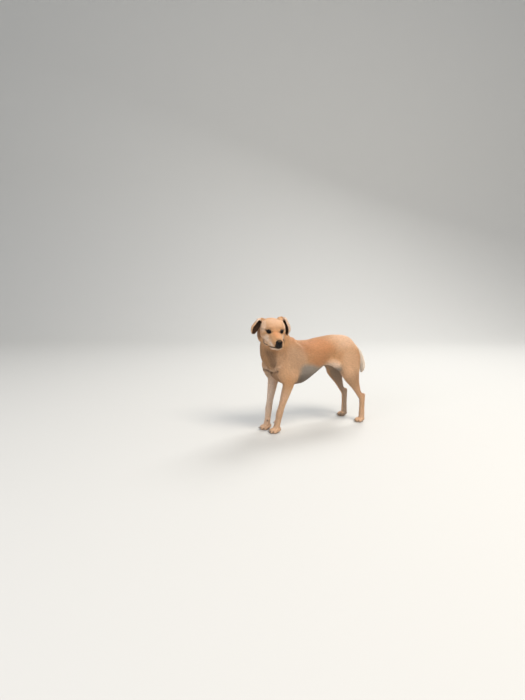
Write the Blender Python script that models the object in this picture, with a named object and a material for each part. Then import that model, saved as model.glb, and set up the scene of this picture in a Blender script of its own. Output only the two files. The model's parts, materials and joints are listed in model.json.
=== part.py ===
"""A short-coated fawn dog, standing with its head turned to its left: a life-size still model.

The body is first made whole. Lofts and muscles are fused by a voxel remesh, in two stages, so
that big forms blend softly and the head and toes stay crisp. Thin cuts then part it into the
pieces that a person would name. Ears, eyes and claws are solids of their own.

The dog's own coordinates are (forward, left, up) in millimetres, with the ground at 0.
In the scene the dog faces -Y, its left side is +X, and lengths are metres.
"""

import math

import bmesh
import bpy
import numpy as np
from mathutils import Matrix, Vector

# Driving dimensions
WITHERS_HEIGHT = 505.0  # ground to the top of the shoulders, coat included, mm
DRAWN_HEIGHT = 505.0  # the height that the tables below are drawn for, mm
MM = 0.001 * WITHERS_HEIGHT / DRAWN_HEIGHT
GAP = 0.0003  # clearance between pieces that meet, m
MERGE = 2e-6  # points closer than this are one point, m
LEAST_LEFT = 0.4  # a cut that leaves less of a piece's size than this has failed
BODY_TRIANGLES = 3700  # of the whole body, before it is parted

# How the head is held: the point where it turns on the neck, and its turn, tip and lean
HEAD_AT = (220, -20, 582)
HEAD_TURN_LEFT = 75.0
HEAD_TIP_DOWN = 17.0
HEAD_LEAN = 2.0

# The stance: where each leg's joints and paw are, as (forward, left, up)
FORE_STANCE = {
    "left": {"shoulder": (204, 76, 350), "elbow": (168, 82, 268), "carpus": (201, 50, 113), "paw": (216, 31)},
    "right": {"shoulder": (204, -78, 350), "elbow": (166, -86, 268), "carpus": (207, -62, 113), "paw": (230, -52)},
}
HIND_STANCE = {
    "left": {"stifle": (-226, 84, 288), "hock": (-334, 76, 147), "paw": (-324, 72)},
    "right": {"stifle": (-232, -84, 288), "hock": (-324, -80, 148), "paw": (-312, -80)},
}

# The trunk's upright sections: forward, top, underside, half width, height of the widest level
TRUNK = [
    (230, 368, 326, 24, 0.50),
    (216, 410, 298, 54, 0.52),
    (188, 452, 272, 76, 0.52),
    (150, 486, 257, 89, 0.54),
    (100, 497, 250, 97, 0.54),
    (45, 493, 253, 101, 0.52),
    (-10, 492, 284, 99, 0.50),
    (-60, 500, 315, 90, 0.50),
    (-108, 506, 341, 79, 0.50),
    (-155, 511, 350, 73, 0.52),
    (-205, 510, 354, 74, 0.54),
    (-250, 504, 354, 74, 0.55),
    (-284, 487, 362, 62, 0.55),
    (-305, 456, 376, 42, 0.52),
    (-318, 430, 392, 20, 0.50),
]

# The neck: centre of each section as (forward, left, up), then its half depth and half width
NECK = [
    (142, 0, 414, 106, 76),
    (177, 0, 438, 110, 73),
    (191, -4, 470, 99, 68),
    (199, -9, 508, 84, 62),
    (208, -14, 545, 69, 56),
    (214, -18, 566, 54, 49),
]

# The crest of the neck, which runs from the withers up to the back of the head
CREST = [
    (70, 0, 464, 32, 40),
    (112, -3, 485, 27, 44),
    (152, -8, 506, 26, 46),
    (184, -12, 535, 20, 42),
]

# The head's sections, in its own frame: distance towards the nose, top, underside, half width,
# squareness of the section above and below its widest level, and that level's height
SKULL = [
    (-34, 4, -16, 10, 2.0, 2.0, -6),
    (-26, 24, -38, 33, 2.0, 2.0, -5),
    (-10, 39, -56, 50, 2.1, 2.0, -3),
    (12, 45, -64, 61, 2.6, 2.0, 0),
    (38, 48, -69, 66, 3.1, 2.1, 0),
    (62, 48, -72, 67, 3.1, 2.1, -6),
    (84, 44, -72, 61, 2.8, 2.2, -12),
    (100, 34, -72, 51, 2.4, 2.3, -18),
    (112, 19, -71, 42, 2.3, 2.4, -24),
    (126, 9, -70, 37, 2.4, 2.6, -28),
    (145, 5, -68, 34.5, 2.5, 2.8, -30),
    (165, 2, -65, 32, 2.5, 2.8, -31),
    (181, -1, -61, 29, 2.5, 2.6, -30),
    (194, -5, -54, 23, 2.4, 2.4, -28),
    (201, -11, -43, 12, 2.1, 2.1, -25),
]
EYE = {"side": 31.5, "forward": 100, "up": 7, "radius": 12.5}
MOUTH = {"corner": (96, -55), "front": (204, -45)}  # the mouth line in the head's frame: forward, up
NOSE_CUT = 188  # the nose leather is the upper part of the head in front of this, mm
NOSE_WIDTH = 40
NOSE_HEIGHT = 30

# The ear's middle line in the head's frame (side, forward, up), then the half widths of its
# curled section across and lengthways
EAR = [
    (42, 26, 22, 15, 14),
    (51, 28, 38, 19, 16),
    (60, 31, 45, 21, 17),
    (66, 35, 41, 21, 17),
    (75, 39, 27, 23, 16),
    (87, 43, 7, 25, 15),
    (93, 46, -15, 21, 12),
    (100, 48, -36, 6, 5),
]
EAR_FLARE = {"left": 0.55, "right": 1.0}  # how far each ear stands off the head
EAR_LIFT = {"left": 9, "right": 1}  # how much each ear is pricked at its fold: up and inwards
EAR_THICKNESS = 3.4
EAR_FOLD = 58  # where the flap starts to stand off the head, sideways
# the section's arc, from its inner back edge round to its front edge, degrees
EAR_CURL = {"left": (-150, 70), "right": (-150, 46)}

# The tail: centre of each section as (forward, left, up), then its radius
TAIL = [
    (-258, 0, 448, 34),
    (-291, 0, 437, 30),
    (-322, 1, 415, 26.5),
    (-350, 2, 387, 24),
    (-369, 4, 353, 22),
    (-379, 6, 322, 19.5),
    (-379, 9, 296, 15),
    (-373, 11, 276, 8),
]

# The toes of a paw: sideways place, forward place and size of each
TOES = [(-18.5, 4, 0.92), (-7.2, 17, 1.0), (7.2, 17, 1.0), (18.5, 4, 0.92)]

# The forelegs' dewclaws: how far behind the paw's middle, inwards and up
DEWCLAW = (-11, 16, 58)

# How a tube is rounded off past its last section: distance on and size, in shares of its radius
ROUND_END = [(0.43, 0.9), (0.78, 0.62), (0.97, 0.26)]
BLUNT_END = [(0.7, 0.4)]

# The finishes: colour and roughness
FINISHES = {
    "fawn_coat": ((0.60, 0.34, 0.17), 0.85),
    "pale_coat": ((0.72, 0.52, 0.36), 0.85),
    "nose_leather": ((0.015, 0.012, 0.012), 0.45),
    "brown_eye": ((0.03, 0.014, 0.008), 0.08),
    "claw_horn": ((0.10, 0.07, 0.055), 0.4),
}


def clear_scene():
    for old in list(bpy.data.objects):
        bpy.data.objects.remove(old)


def at(forward, left, up):
    """The scene's point for one in the dog's own coordinates."""
    return Vector((left, -forward, up)) * MM


def head_matrix():
    """Takes the head's own frame (side, forward, up), in mm, to the scene's metres.
    Side is the dog's left, and the frame starts where the head turns on the neck."""
    turn = Matrix.Rotation(math.radians(HEAD_TURN_LEFT), 4, "Z")
    tip = Matrix.Rotation(math.radians(HEAD_TIP_DOWN), 4, "X")
    lean = Matrix.Rotation(math.radians(HEAD_LEAN), 4, "Y")
    facing = Matrix(((1, 0, 0, 0), (0, -1, 0, 0), (0, 0, 1, 0), (0, 0, 0, 1)))
    return Matrix.Translation(at(*HEAD_AT)) @ turn @ tip @ lean @ facing @ Matrix.Scale(MM, 4)


def material(name):
    made = bpy.data.materials.get(name)
    if made is None:
        colour, roughness = FINISHES[name]
        made = bpy.data.materials.new(name)
        made.use_nodes = True
        shader = made.node_tree.nodes["Principled BSDF"]
        shader.inputs["Base Color"].default_value = (*colour, 1)
        shader.inputs["Roughness"].default_value = roughness
        shader.inputs["Metallic"].default_value = 0.0
    return made


def smooth_rows(rows, per_span=4):
    """Rows of numbers, with rows of a Catmull-Rom curve through them put in between."""
    table = np.array(rows, float)
    padded = np.vstack([2 * table[0] - table[1], table, 2 * table[-1] - table[-2]])
    found = []
    for i in range(len(table) - 1):
        a, b, c, d = padded[i : i + 4]
        for t in np.arange(per_span) / per_span:
            found.append(
                0.5 * (2 * b + (c - a) * t + (2 * a - 5 * b + 4 * c - d) * t**2 + (3 * b - a - 3 * c + d) * t**3)
            )
    found.append(table[-1])
    return found


def oval(angle, squareness):
    """Sideways and upward shares of a superellipse at an angle from the top."""
    s, c = math.sin(angle), math.cos(angle)
    power = 2 / squareness
    return math.copysign(abs(s) ** power, s), math.copysign(abs(c) ** power, c)


def add_loft(bm, rings):
    """A closed tube through rings of points that all have the same count."""
    rows = [[bm.verts.new(p) for p in ring] for ring in rings]
    count = len(rows[0])
    for near, far in zip(rows, rows[1:]):
        for i in range(count):
            j = (i + 1) % count
            bm.faces.new((near[i], near[j], far[j], far[i]))
    bm.faces.new(list(reversed(rows[0])))
    bm.faces.new(rows[-1])


def add_limb(bm, rows, sides=20, side=Vector((1, 0, 0)), per_span=4, end=ROUND_END):
    """A round-ended tube along (forward, left, up, half depth, half width) rows: depth lies
    across side."""
    rows = smooth_rows(rows, per_span)
    centres = [at(*row[:3]) for row in rows]
    turns = [2 * math.pi * k / sides for k in range(sides)]
    rings = []
    for i, row in enumerate(rows):
        along = (centres[min(i + 1, len(rows) - 1)] - centres[max(i - 1, 0)]).normalized()
        across = (side - along * side.dot(along)).normalized()
        deep = along.cross(across) * row[3] * MM
        wide = across * row[-1] * MM
        ahead = along * row[-1] * MM
        caps = [(0.0, 1.0)]
        if i == 0:
            caps = [(-shift, size) for shift, size in reversed(end)] + caps
        elif i == len(rows) - 1:
            caps = caps + list(end)
        for shift, size in caps:
            middle = centres[i] + ahead * shift
            rings.append([middle + (deep * math.cos(t) + wide * math.sin(t)) * size for t in turns])
    add_loft(bm, rings)


def add_muscle(bm, centre, radii, tilt=0.0, yaw=0.0):
    """An ellipsoid at (forward, left, up) with radii in the same order. Tilt lifts its front end,
    and yaw turns its front end to the dog's left, in degrees."""
    shape = (
        Matrix.Translation(at(*centre))
        @ Matrix.Rotation(math.radians(yaw), 4, "Z")
        @ Matrix.Rotation(math.radians(-tilt), 4, "X")
        @ Matrix.Diagonal((radii[1] * MM, radii[0] * MM, radii[2] * MM, 1))
    )
    bmesh.ops.create_uvsphere(bm, u_segments=20, v_segments=14, radius=1, matrix=shape)


def add_trunk(bm, sides=36):
    rings = []
    for forward, top, under, half_width, widest in smooth_rows(TRUNK):
        level = under + (top - under) * widest
        ring = []
        for k in range(sides):
            angle = 2 * math.pi * k / sides
            upper = math.cos(angle) >= 0
            sideways, upward = oval(angle, 2.15 if upper else 1.95)
            reach = (top - level) if upper else (level - under)
            ring.append(at(forward, half_width * sideways, level + reach * upward))
        rings.append(ring)
    add_loft(bm, rings)


def add_skull(bm, sides=32):
    frame = head_matrix()
    rings = []
    for forward, top, under, half_width, above, below, level in smooth_rows(SKULL):
        ring = []
        for k in range(sides):
            angle = 2 * math.pi * k / sides
            upper = math.cos(angle) >= 0
            sideways, upward = oval(angle, above if upper else below)
            reach = (top - level) if upper else (level - under)
            ring.append(frame @ Vector((half_width * sideways, forward, level + reach * upward)))
        rings.append(ring)
    add_loft(bm, rings)


def add_head_form(bm, centre, radii, tilt=0.0, yaw=0.0):
    """An ellipsoid in the head's frame, as (side, forward, up) and radii in that order."""
    shape = (
        head_matrix()
        @ Matrix.Translation(centre)
        @ Matrix.Rotation(math.radians(yaw), 4, "Z")
        @ Matrix.Rotation(math.radians(tilt), 4, "X")
        @ Matrix.Diagonal((*radii, 1))
    )
    bmesh.ops.create_uvsphere(bm, u_segments=20, v_segments=14, radius=1, matrix=shape)


def sign_of(side):
    return 1 if side == "left" else -1


def between(a, b, share):
    return tuple(p + (q - p) * share for p, q in zip(a, b))


def add_forelegs(bm):
    """Shoulder blades, upper arms and the forelegs down to the paws."""
    for side, joint in FORE_STANCE.items():
        out = sign_of(side)
        shoulder, elbow, carpus, paw = joint["shoulder"], joint["elbow"], joint["carpus"], joint["paw"]
        add_limb(bm, [(106, 36 * out, 458, 30, 18), (146, 58 * out, 424, 54, 30), (*shoulder, 44, 30)])
        upper = between(shoulder, elbow, 0.5)
        add_limb(bm, [(*shoulder, 40, 30), (upper[0] - 16, *upper[1:], 50, 29), (*elbow, 32, 25)])
        add_muscle(bm, (elbow[0] - 26, elbow[1] - 5 * out, elbow[2] + 40), (34, 24, 44), tilt=-30)
        add_muscle(bm, (elbow[0] - 18, elbow[1], elbow[2] + 6), (16, 15, 19), tilt=-20)
        forearm = between(elbow, carpus, 0.28)
        narrow = between(elbow, carpus, 0.74)
        pastern = between(carpus, (paw[0] - 8, paw[1], 26), 0.55)
        rows = [(*elbow, 33, 27), (*forearm, 28, 25), (*narrow, 20, 18.5), (*carpus, 20.5, 20)]
        rows += [(*pastern, 17, 18), (paw[0] - 6, paw[1], 27, 20, 22)]
        add_limb(bm, rows)


def add_hindlegs(bm):
    """Thighs, lower thighs, hocks and the hind legs down to the paws."""
    for side, joint in HIND_STANCE.items():
        out = sign_of(side)
        stifle, hock, paw = joint["stifle"], joint["hock"], joint["paw"]
        add_thigh(bm, out, stifle)
        top = (stifle[0] - 4, stifle[1] - 2 * out, stifle[2] + 30)
        gaskin = between(stifle, hock, 0.42)
        low = between(stifle, hock, 0.78)
        rows = [(*top, 46, 28), (*stifle, 39, 30), (gaskin[0] - 3, *gaskin[1:], 31, 25)]
        add_limb(bm, [*rows, (low[0] + 6, *low[1:], 20, 17), (hock[0] + 4, hock[1], hock[2] - 2, 19, 16)])
        add_muscle(bm, (hock[0] - 9, hock[1], hock[2] + 8), (12, 11.5, 19), tilt=12)
        fold = [(-48, 64 * out, 379, 26, 17), (-88, 70 * out, 375, 25, 15), (-124, 76 * out, 363, 23, 15)]
        add_limb(bm, [*fold, (stifle[0] + 66, 80 * out, 338, 22, 20)])  # fold of skin at the flank
        heel = (paw[0] - 12, paw[1], 28)
        mid = between(hock, heel, 0.5)
        add_limb(bm, [(hock[0], hock[1], hock[2] + 6, 21, 16), (*mid, 17.5, 15.5), (*heel, 19, 20)])


def add_thigh(bm, out, stifle, sides=24):
    """The thigh as level sections: height, front, back, distance from the middle, half thickness."""
    lean = stifle[0] + 226
    sections = [
        (492, -190, -236, 40, 10),
        (478, -166, -268, 46, 22),
        (450, -146, -295, 51, 33),
        (415, -136, -313, 55, 40),
        (375, -134 + lean * 0.4, -317, 59, 41),
        (335, -148 + lean * 0.8, -312, 66, 38),
        (300, -176 + lean, -304, 74, 34),
        (268, -198 + lean, -301, 79, 29),
        (240, -226 + lean, -303, 80, 24),
        (216, -254 + lean, -300, 79, 12),
    ]
    rings = []
    for up, front, back, left, thick in smooth_rows(sections):
        middle, reach = (front + back) / 2, (front - back) / 2
        ring = []
        for k in range(sides):
            sideways, lengthways = oval(2 * math.pi * k / sides, 2.1)
            ring.append(at(middle + reach * lengthways, left * out + thick * sideways, up))
        rings.append(ring)
    add_loft(bm, rings)


def add_face(bm):
    """Cheeks, brows, muzzle bridge, lips, chin and nose over the plain skull."""
    for out in (1, -1):
        add_head_form(bm, (44 * out, 60, -22), (22, 36, 26), tilt=-8, yaw=-8 * out)  # cheek
        add_head_form(bm, (34 * out, 50, 24), (26, 36, 24), yaw=-6 * out)  # temple
        add_head_form(bm, (22 * out, 92, 27), (15, 14, 10), tilt=-20)  # brow
        add_head_form(bm, (27 * out, 128, -44), (16, 40, 19), tilt=-3, yaw=8 * out)  # flew
        add_head_form(bm, (18 * out, 172, -32), (14.5, 24, 17), tilt=-6, yaw=6 * out)  # upper lip
        add_head_form(bm, (35 * out, 90, -59), (19, 34, 18))  # corner of the mouth
        add_head_form(bm, (16 * out, 136, -57), (19, 42, 17))  # side of the lower jaw
        add_head_form(bm, (9.5 * out, 194.5, -13), (11, 8.5, 11.5))  # wing of the nose
        add_head_form(bm, (44 * out, 6, -46), (27, 34, 50))  # behind the jaw
    add_head_form(bm, (0, 148, 0), (19, 50, 10), tilt=-4)  # bridge
    add_head_form(bm, (0, 196.5, -8), (13.5, 9, 12))  # nose
    add_head_form(bm, (0, 166, -56), (19, 28, 12), tilt=6)  # chin
    add_head_form(bm, (0, 90, -54), (42, 50, 24))  # angle of the jaws


def add_paws(bm):
    for side, joint in FORE_STANCE.items():
        forward, left = joint["paw"]
        behind, inwards, up = DEWCLAW
        add_muscle(bm, (forward + behind, left - inwards * sign_of(side), up), (12, 8, 9), tilt=-50)
    paws = [(joint["paw"], 1.0) for joint in FORE_STANCE.values()]
    paws += [(joint["paw"], 0.93) for joint in HIND_STANCE.values()]
    for (forward, left), size in paws:
        add_muscle(bm, (forward - 12 * size, left, 19 * size), (22 * size, 22 * size, 17 * size))
        for sideways, ahead, part in TOES:
            toe = size * part
            place = (forward + ahead * size, left + sideways * size)
            add_muscle(bm, (place[0], place[1], 16 * toe), (19 * toe, 8.4 * toe, 13.5 * toe), tilt=-14)
            add_muscle(bm, (place[0] + 7 * toe, place[1], 7.5 * toe), (12 * toe, 8 * toe, 9.5 * toe))


def mesh_object(name, bm):
    bmesh.ops.recalc_face_normals(bm, faces=bm.faces)
    mesh = bpy.data.meshes.new(name)
    bm.to_mesh(mesh)
    bm.free()
    obj = bpy.data.objects.new(name, mesh)
    bpy.context.scene.collection.objects.link(obj)
    return obj


def applied(obj):
    """The object with its modifiers made part of its mesh."""
    graph = bpy.context.evaluated_depsgraph_get()
    mesh = bpy.data.meshes.new_from_object(obj.evaluated_get(graph))
    obj.modifiers.clear()
    obj.data = mesh
    return obj


def fused(obj, voxel, rounds):
    """Overlapping shapes made one skin by voxels, then smoothed so that they flow together."""
    remesh = obj.modifiers.new("fuse", "REMESH")
    remesh.mode = "VOXEL"
    remesh.voxel_size = voxel
    smooth = obj.modifiers.new("soften", "SMOOTH")
    smooth.factor = 0.5
    smooth.iterations = rounds
    return applied(obj)


def add_mesh(bm, obj):
    bm.from_mesh(obj.data)
    bpy.data.objects.remove(obj)


def whole_body(fine=1.0):
    """The body in one skin, without ears, eyes and claws. Fine under 1 gives smaller voxels."""
    bm = bmesh.new()
    add_trunk(bm)
    add_limb(bm, NECK, sides=28)
    add_limb(bm, CREST)
    add_forelegs(bm)
    add_hindlegs(bm)
    add_limb(bm, TAIL, sides=16)
    add_muscle(bm, (206, 0, 348), (28, 52, 36))  # breast
    add_muscle(bm, (55, 0, 448), (86, 60, 46), tilt=10)  # withers
    big = fused(mesh_object("big_forms", bm), 0.005 * fine, round(16 / fine**2))
    bm = bmesh.new()
    add_skull(bm)
    add_face(bm)
    add_paws(bm)
    add_mesh(bm, big)
    return fused(mesh_object("body", bm), 0.0032 * fine, round(5 / fine**2))


def thinned(obj, triangles):
    """The object with fewer triangles. The head and the paws keep more of them for their size."""
    middle = head_matrix() @ Vector((0, 92, -10))
    group = obj.vertex_groups.new(name="thin")
    for vertex in obj.data.vertices:
        fine = (vertex.co - middle).length < 125 * MM or vertex.co.z < 45 * MM
        group.add([vertex.index], 0.4 if fine else 1.0, "REPLACE")
    thin = obj.modifiers.new("thin", "DECIMATE")
    thin.ratio = triangles / (2 * len(obj.data.polygons))
    thin.vertex_group = "thin"
    thin.vertex_group_factor = 1.0
    return applied(obj)


def cell(centre, half, turn=Matrix.Identity(4), frame=None, grow=0.0):
    """A hidden box to cut with: centre and half sizes are (forward, left, up) or, in the head's
    frame, (side, forward, up)."""
    bm = bmesh.new()
    bmesh.ops.create_cube(bm, size=2)
    if frame is None:
        place = Matrix.Translation(at(*centre)) @ turn
        sizes = (half[1] * MM + grow, half[0] * MM + grow, half[2] * MM + grow, 1)
    else:
        place = frame @ Matrix.Translation(centre) @ turn
        sizes = tuple(h + grow / MM for h in half) + (1,)
    bmesh.ops.transform(bm, matrix=place @ Matrix.Diagonal(sizes), verts=bm.verts)
    box = mesh_object("cutter", bm)
    box.hide_render = True
    box.display_type = "WIRE"
    return box


def cut(obj, cutter, operation):
    """A copy of the object cut by the cutter. The exact solver goes first, and another way stands
    in where it leaves a mesh open or loses nearly all of it."""
    least = LEAST_LEFT * spread(obj.data.vertices) if operation == "DIFFERENCE" else 0
    for solver, touches_itself in (("EXACT", False), ("EXACT", True), ("MANIFOLD", False)):
        made = bpy.data.objects.new(obj.name, obj.data.copy())
        bpy.context.scene.collection.objects.link(made)
        boolean = made.modifiers.new("cut", "BOOLEAN")
        boolean.operation = operation
        boolean.object = cutter
        boolean.solver = solver
        if solver == "EXACT":
            boolean.use_self = touches_itself
        applied(made)
        if closed_body(made) and spread(made.data.vertices) > least:
            return made
        bpy.data.objects.remove(made)
    raise ValueError(f"{obj.name} can't be cut cleanly")


def closed_body(obj):
    """Keeps only the biggest loose body of a mesh, and says whether that is closed."""
    bm = bmesh.new()
    bm.from_mesh(obj.data)
    bmesh.ops.remove_doubles(bm, verts=bm.verts, dist=MERGE)
    bmesh.ops.dissolve_degenerate(bm, edges=bm.edges, dist=MERGE)
    bm.verts.ensure_lookup_table()
    seen, bodies = set(), [[]]
    for start in bm.verts:
        if start.index in seen:
            continue
        seen.add(start.index)
        body, front = [], [start]
        while front:
            vertex = front.pop()
            body.append(vertex)
            for edge in vertex.link_edges:
                other = edge.other_vert(vertex)
                if other.index not in seen:
                    seen.add(other.index)
                    front.append(other)
        bodies.append(body)
    keep = set(max(bodies, key=spread))
    bmesh.ops.delete(bm, geom=[v for v in bm.verts if v not in keep], context="VERTS")
    bmesh.ops.triangulate(bm, faces=bm.faces)
    closed = bool(bm.faces) and all(edge.is_manifold for edge in bm.edges)
    bm.to_mesh(obj.data)
    bm.free()
    return closed


def spread(vertices):
    """The size of the box around some points."""
    points = np.array([vertex.co for vertex in vertices]).reshape(-1, 3)
    return float(np.ptp(points, axis=0).sum()) if len(points) else 0.0


def carved(rest, name, finish, *box, **place):
    """What lies in a box becomes a piece of its own, and the rest stays GAP away from it."""
    tight, loose = cell(*box, **place), cell(*box, grow=GAP, **place)
    piece = cut(rest, tight, "INTERSECT")
    left_over = cut(rest, loose, "DIFFERENCE")
    for spent in (rest, tight, loose):
        bpy.data.objects.remove(spent)
    named(piece, name, finish)
    return left_over


def named(obj, name, finish):
    obj.name = name
    obj.data.name = name
    obj.data.materials.clear()
    obj.data.materials.append(material(finish))
    return obj


def leaned(across=0.0, fore=0.0, turned=0.0):
    """A turn for a cell: leaned to the dog's left, tipped nose down and turned to the left."""
    return (
        Matrix.Rotation(math.radians(turned), 4, "Z")
        @ Matrix.Rotation(math.radians(fore), 4, "X")
        @ Matrix.Rotation(math.radians(across), 4, "Y")
    )


def part_body(body):
    """Parts the whole body into its named pieces, from the ends inwards. Returns the head."""
    frame = head_matrix()
    for side, joint in FORE_STANCE.items():
        out = sign_of(side)
        forward, left = joint["paw"]
        body = carved(body, "forepaw_" + side, "pale_coat", (forward, left, 0), (60, 40, 42))
        elbow = joint["elbow"]
        place = (elbow[0] + 20, elbow[1] + 21 * out, 170)
        lean = math.degrees(math.atan2(elbow[1] - left, elbow[2]))
        body = carved(body, "foreleg_" + side, "fawn_coat", place, (104, 60, 156), leaned(across=lean))
    for side, joint in HIND_STANCE.items():
        forward, left = joint["paw"]
        hock = joint["hock"]
        body = carved(body, "hindpaw_" + side, "pale_coat", (forward, left, 0), (60, 40, 42))
        place = (hock[0] + 20, left, 110)
        body = carved(body, "hindleg_" + side, "fawn_coat", place, (110, 50, 96), leaned(fore=22))
    body = carved(body, "tail", "pale_coat", (-386, 0, 340), (62, 50, 150))
    for side in HIND_STANCE:
        out = sign_of(side)
        place = (-245, 132 * out, 322)
        body = carved(body, "thigh_" + side, "fawn_coat", place, (118, 120, 145), leaned(across=36 * out))
    body = carved(body, "rump", "fawn_coat", (-257, 0, 430), (130, 130, 130))
    body = carved(body, "belly", "fawn_coat", (-95, 0, 400), (60, 140, 200))
    nape_cut = Matrix.Rotation(math.radians(-22), 4, "Y") @ Matrix.Rotation(math.radians(75), 4, "X")
    place = Vector((0, 0, -50)) + nape_cut @ Vector((0, 150, 0))
    body = carved(body, "head", "fawn_coat", place, (84, 150, 240), nape_cut, frame=frame)
    body = carved(body, "neck", "fawn_coat", (263, 0, 580), (160, 130, 190), leaned(fore=-53))
    named(body, "chest", "fawn_coat")
    return bpy.data.objects["head"]


def part_head(head):
    """Takes the lower jaw and the nose leather out of the head, and hollows the eye sockets."""
    frame = head_matrix()
    (back, low), (front, high) = MOUTH["corner"], MOUTH["front"]
    rise = Matrix.Rotation(math.atan2(high - low, front - back), 4, "X")
    middle = (0, (back + front) / 2, (low + high) / 2)
    down = rise @ Vector((0, 0, -40))
    place = tuple(m + d for m, d in zip(middle, down))
    reach = math.hypot(front - back, high - low) / 2
    head = carved(head, "lower_jaw", "pale_coat", place, (80, reach, 40), rise, frame=frame)
    place = (0, NOSE_CUT + 30, -15)
    head = carved(head, "nose", "nose_leather", place, (NOSE_WIDTH / 2, 30, NOSE_HEIGHT / 2), frame=frame)
    for side in EAR_FLARE:
        middle = (EYE["side"] * sign_of(side), EYE["forward"], EYE["up"])
        socket = ball("cutter", middle, EYE["radius"] + GAP / MM)
        hollowed = cut(head, socket, "DIFFERENCE")
        for spent in (head, socket):
            bpy.data.objects.remove(spent)
        head = hollowed
        named(ball("eye", middle, EYE["radius"]), "eye_" + side, "brown_eye")
    return named(head, "head", "fawn_coat")


def ball(name, middle, radius):
    """A ball in the head's frame, with a pole at its front."""
    bm = bmesh.new()
    shape = head_matrix() @ Matrix.Translation(middle) @ Matrix.Rotation(math.radians(90), 4, "X")
    shape = shape @ Matrix.Scale(radius, 4)
    bmesh.ops.create_uvsphere(bm, u_segments=12, v_segments=8, radius=1, matrix=shape)
    return mesh_object(name, bm)


def add_ear(bm, side, rows, across=14):
    """One ear's flap as a curled sheet, from its root over the fold down to its tip. Its section
    opens towards the head and forwards."""
    frame, out, flare = head_matrix(), sign_of(side), EAR_FLARE[side]
    grid = []
    for sideways, forward, up, wide, deep in rows:
        spread = EAR_FOLD + (sideways - EAR_FOLD) * (flare if sideways > EAR_FOLD else 1)
        lift = EAR_LIFT[side] * max(up, 0) / 45
        row = []
        for turn in np.radians(np.linspace(*EAR_CURL[side], across + 1)):
            x = spread + wide * math.cos(turn) - lift
            row.append(bm.verts.new(frame @ Vector((x * out, forward + deep * math.sin(turn), up + lift))))
        grid.append(row)
    for upper, lower in zip(grid, grid[1:]):
        for k in range(across):
            bm.faces.new((upper[k], upper[k + 1], lower[k + 1], lower[k]))


def make_ear(side, body_grown):
    """One ear, cut clear of the head and neck that it lies against."""
    bm = bmesh.new()
    add_ear(bm, side, smooth_rows(EAR, 2), across=6)
    flap = mesh_object("ear", bm)
    shell = flap.modifiers.new("thickness", "SOLIDIFY")
    shell.thickness = EAR_THICKNESS * MM
    shell.offset = 0
    outward(applied(flap))
    ear = cut(flap, body_grown, "DIFFERENCE")
    bpy.data.objects.remove(flap)
    return named(ear, "ear_" + side, "fawn_coat")


def outward(obj):
    """Turns every face of a closed mesh to the outside."""
    bm = bmesh.new()
    bm.from_mesh(obj.data)
    bmesh.ops.recalc_face_normals(bm, faces=bm.faces)
    bm.to_mesh(obj.data)
    bm.free()


def grown(obj, by):
    """A hidden copy of an object with its surface moved out."""
    made = bpy.data.objects.new("cutter", obj.data.copy())
    bpy.context.scene.collection.objects.link(made)
    normals = [vertex.normal.copy() for vertex in made.data.vertices]
    for vertex, normal in zip(made.data.vertices, normals):
        vertex.co += normal * by
    made.hide_render = True
    made.display_type = "WIRE"
    return made


def make_claw(name, forward, left, up, size, paw_grown):
    """A claw as a curved cone that leaves the toe forwards and hooks down, clear of the ground."""
    rows = [(-7, 3.2, 2.6), (0, 3.0, 2.4), (6, 1.2, 1.9), (11, -2.6, 0.8)]
    bm = bmesh.new()
    add_limb(
        bm,
        [(forward + ahead * size, left, up + rise * size, thick * size) for ahead, rise, thick in rows],
        sides=6,
        per_span=1,
        end=BLUNT_END,
    )
    cone = mesh_object("claw", bm)
    claw = cut(cone, paw_grown, "DIFFERENCE")
    bpy.data.objects.remove(cone)
    return named(claw, name, "claw_horn")


def make_claws():
    stances = [("fore", FORE_STANCE, 1.0), ("hind", HIND_STANCE, 0.93)]
    for end, stance, size in stances:
        for side, joint in stance.items():
            out = sign_of(side)
            forward, left = joint["paw"]
            cutter = grown(bpy.data.objects[end + "paw_" + side], GAP)
            for number, (sideways, ahead, part) in enumerate(TOES, 1):
                tip = forward + (ahead + 17 * part) * size
                name = f"claw_{end}_{side}_{number}"
                make_claw(name, tip, left - sideways * out * size, 11 * size, part * size, cutter)
            bpy.data.objects.remove(cutter)
    behind, inwards, up = DEWCLAW
    for side, joint in FORE_STANCE.items():
        forward, left = joint["paw"]
        cutter = grown(bpy.data.objects["foreleg_" + side], GAP)
        place = (forward + behind + 8, left - (inwards + 2) * sign_of(side), up - 6)
        make_claw("dewclaw_" + side, *place, 0.8, cutter)
        bpy.data.objects.remove(cutter)


def settle():
    """Moves everything so that the origin lies under the middle of the object's box."""
    pieces = [obj for obj in bpy.data.objects if obj.type == "MESH"]
    points = np.array([vertex.co for obj in pieces for vertex in obj.data.vertices])
    low, high = points.min(axis=0), points.max(axis=0)
    shift = Matrix.Translation((-(low[0] + high[0]) / 2, -(low[1] + high[1]) / 2, 0))
    for obj in pieces:
        obj.data.transform(shift)
        obj.data.shade_smooth()
        obj.data.set_sharp_from_angle(angle=math.radians(50))
    return shift


def main():
    clear_scene()
    body = thinned(whole_body(), BODY_TRIANGLES)
    ground = cell((0, 0, -50), (600, 300, 50))
    flat_footed = cut(body, ground, "DIFFERENCE")
    for spent in (body, ground):
        bpy.data.objects.remove(spent)
    body_grown = grown(flat_footed, GAP)
    for side in EAR_FLARE:
        make_ear(side, body_grown)
    bpy.data.objects.remove(body_grown)
    part_head(part_body(flat_footed))
    make_claws()
    settle()


if __name__ == "__main__":
    main()
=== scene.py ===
# %% [markdown]
# # A short-coated fawn dog
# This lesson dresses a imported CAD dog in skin, coat, eyes and claws. The CAD solids stay as the
# fixed frame. One skin stands for all the flesh solids, and it lies a coat's depth inside them.

# %%
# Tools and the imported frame
import json
import math

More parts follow.
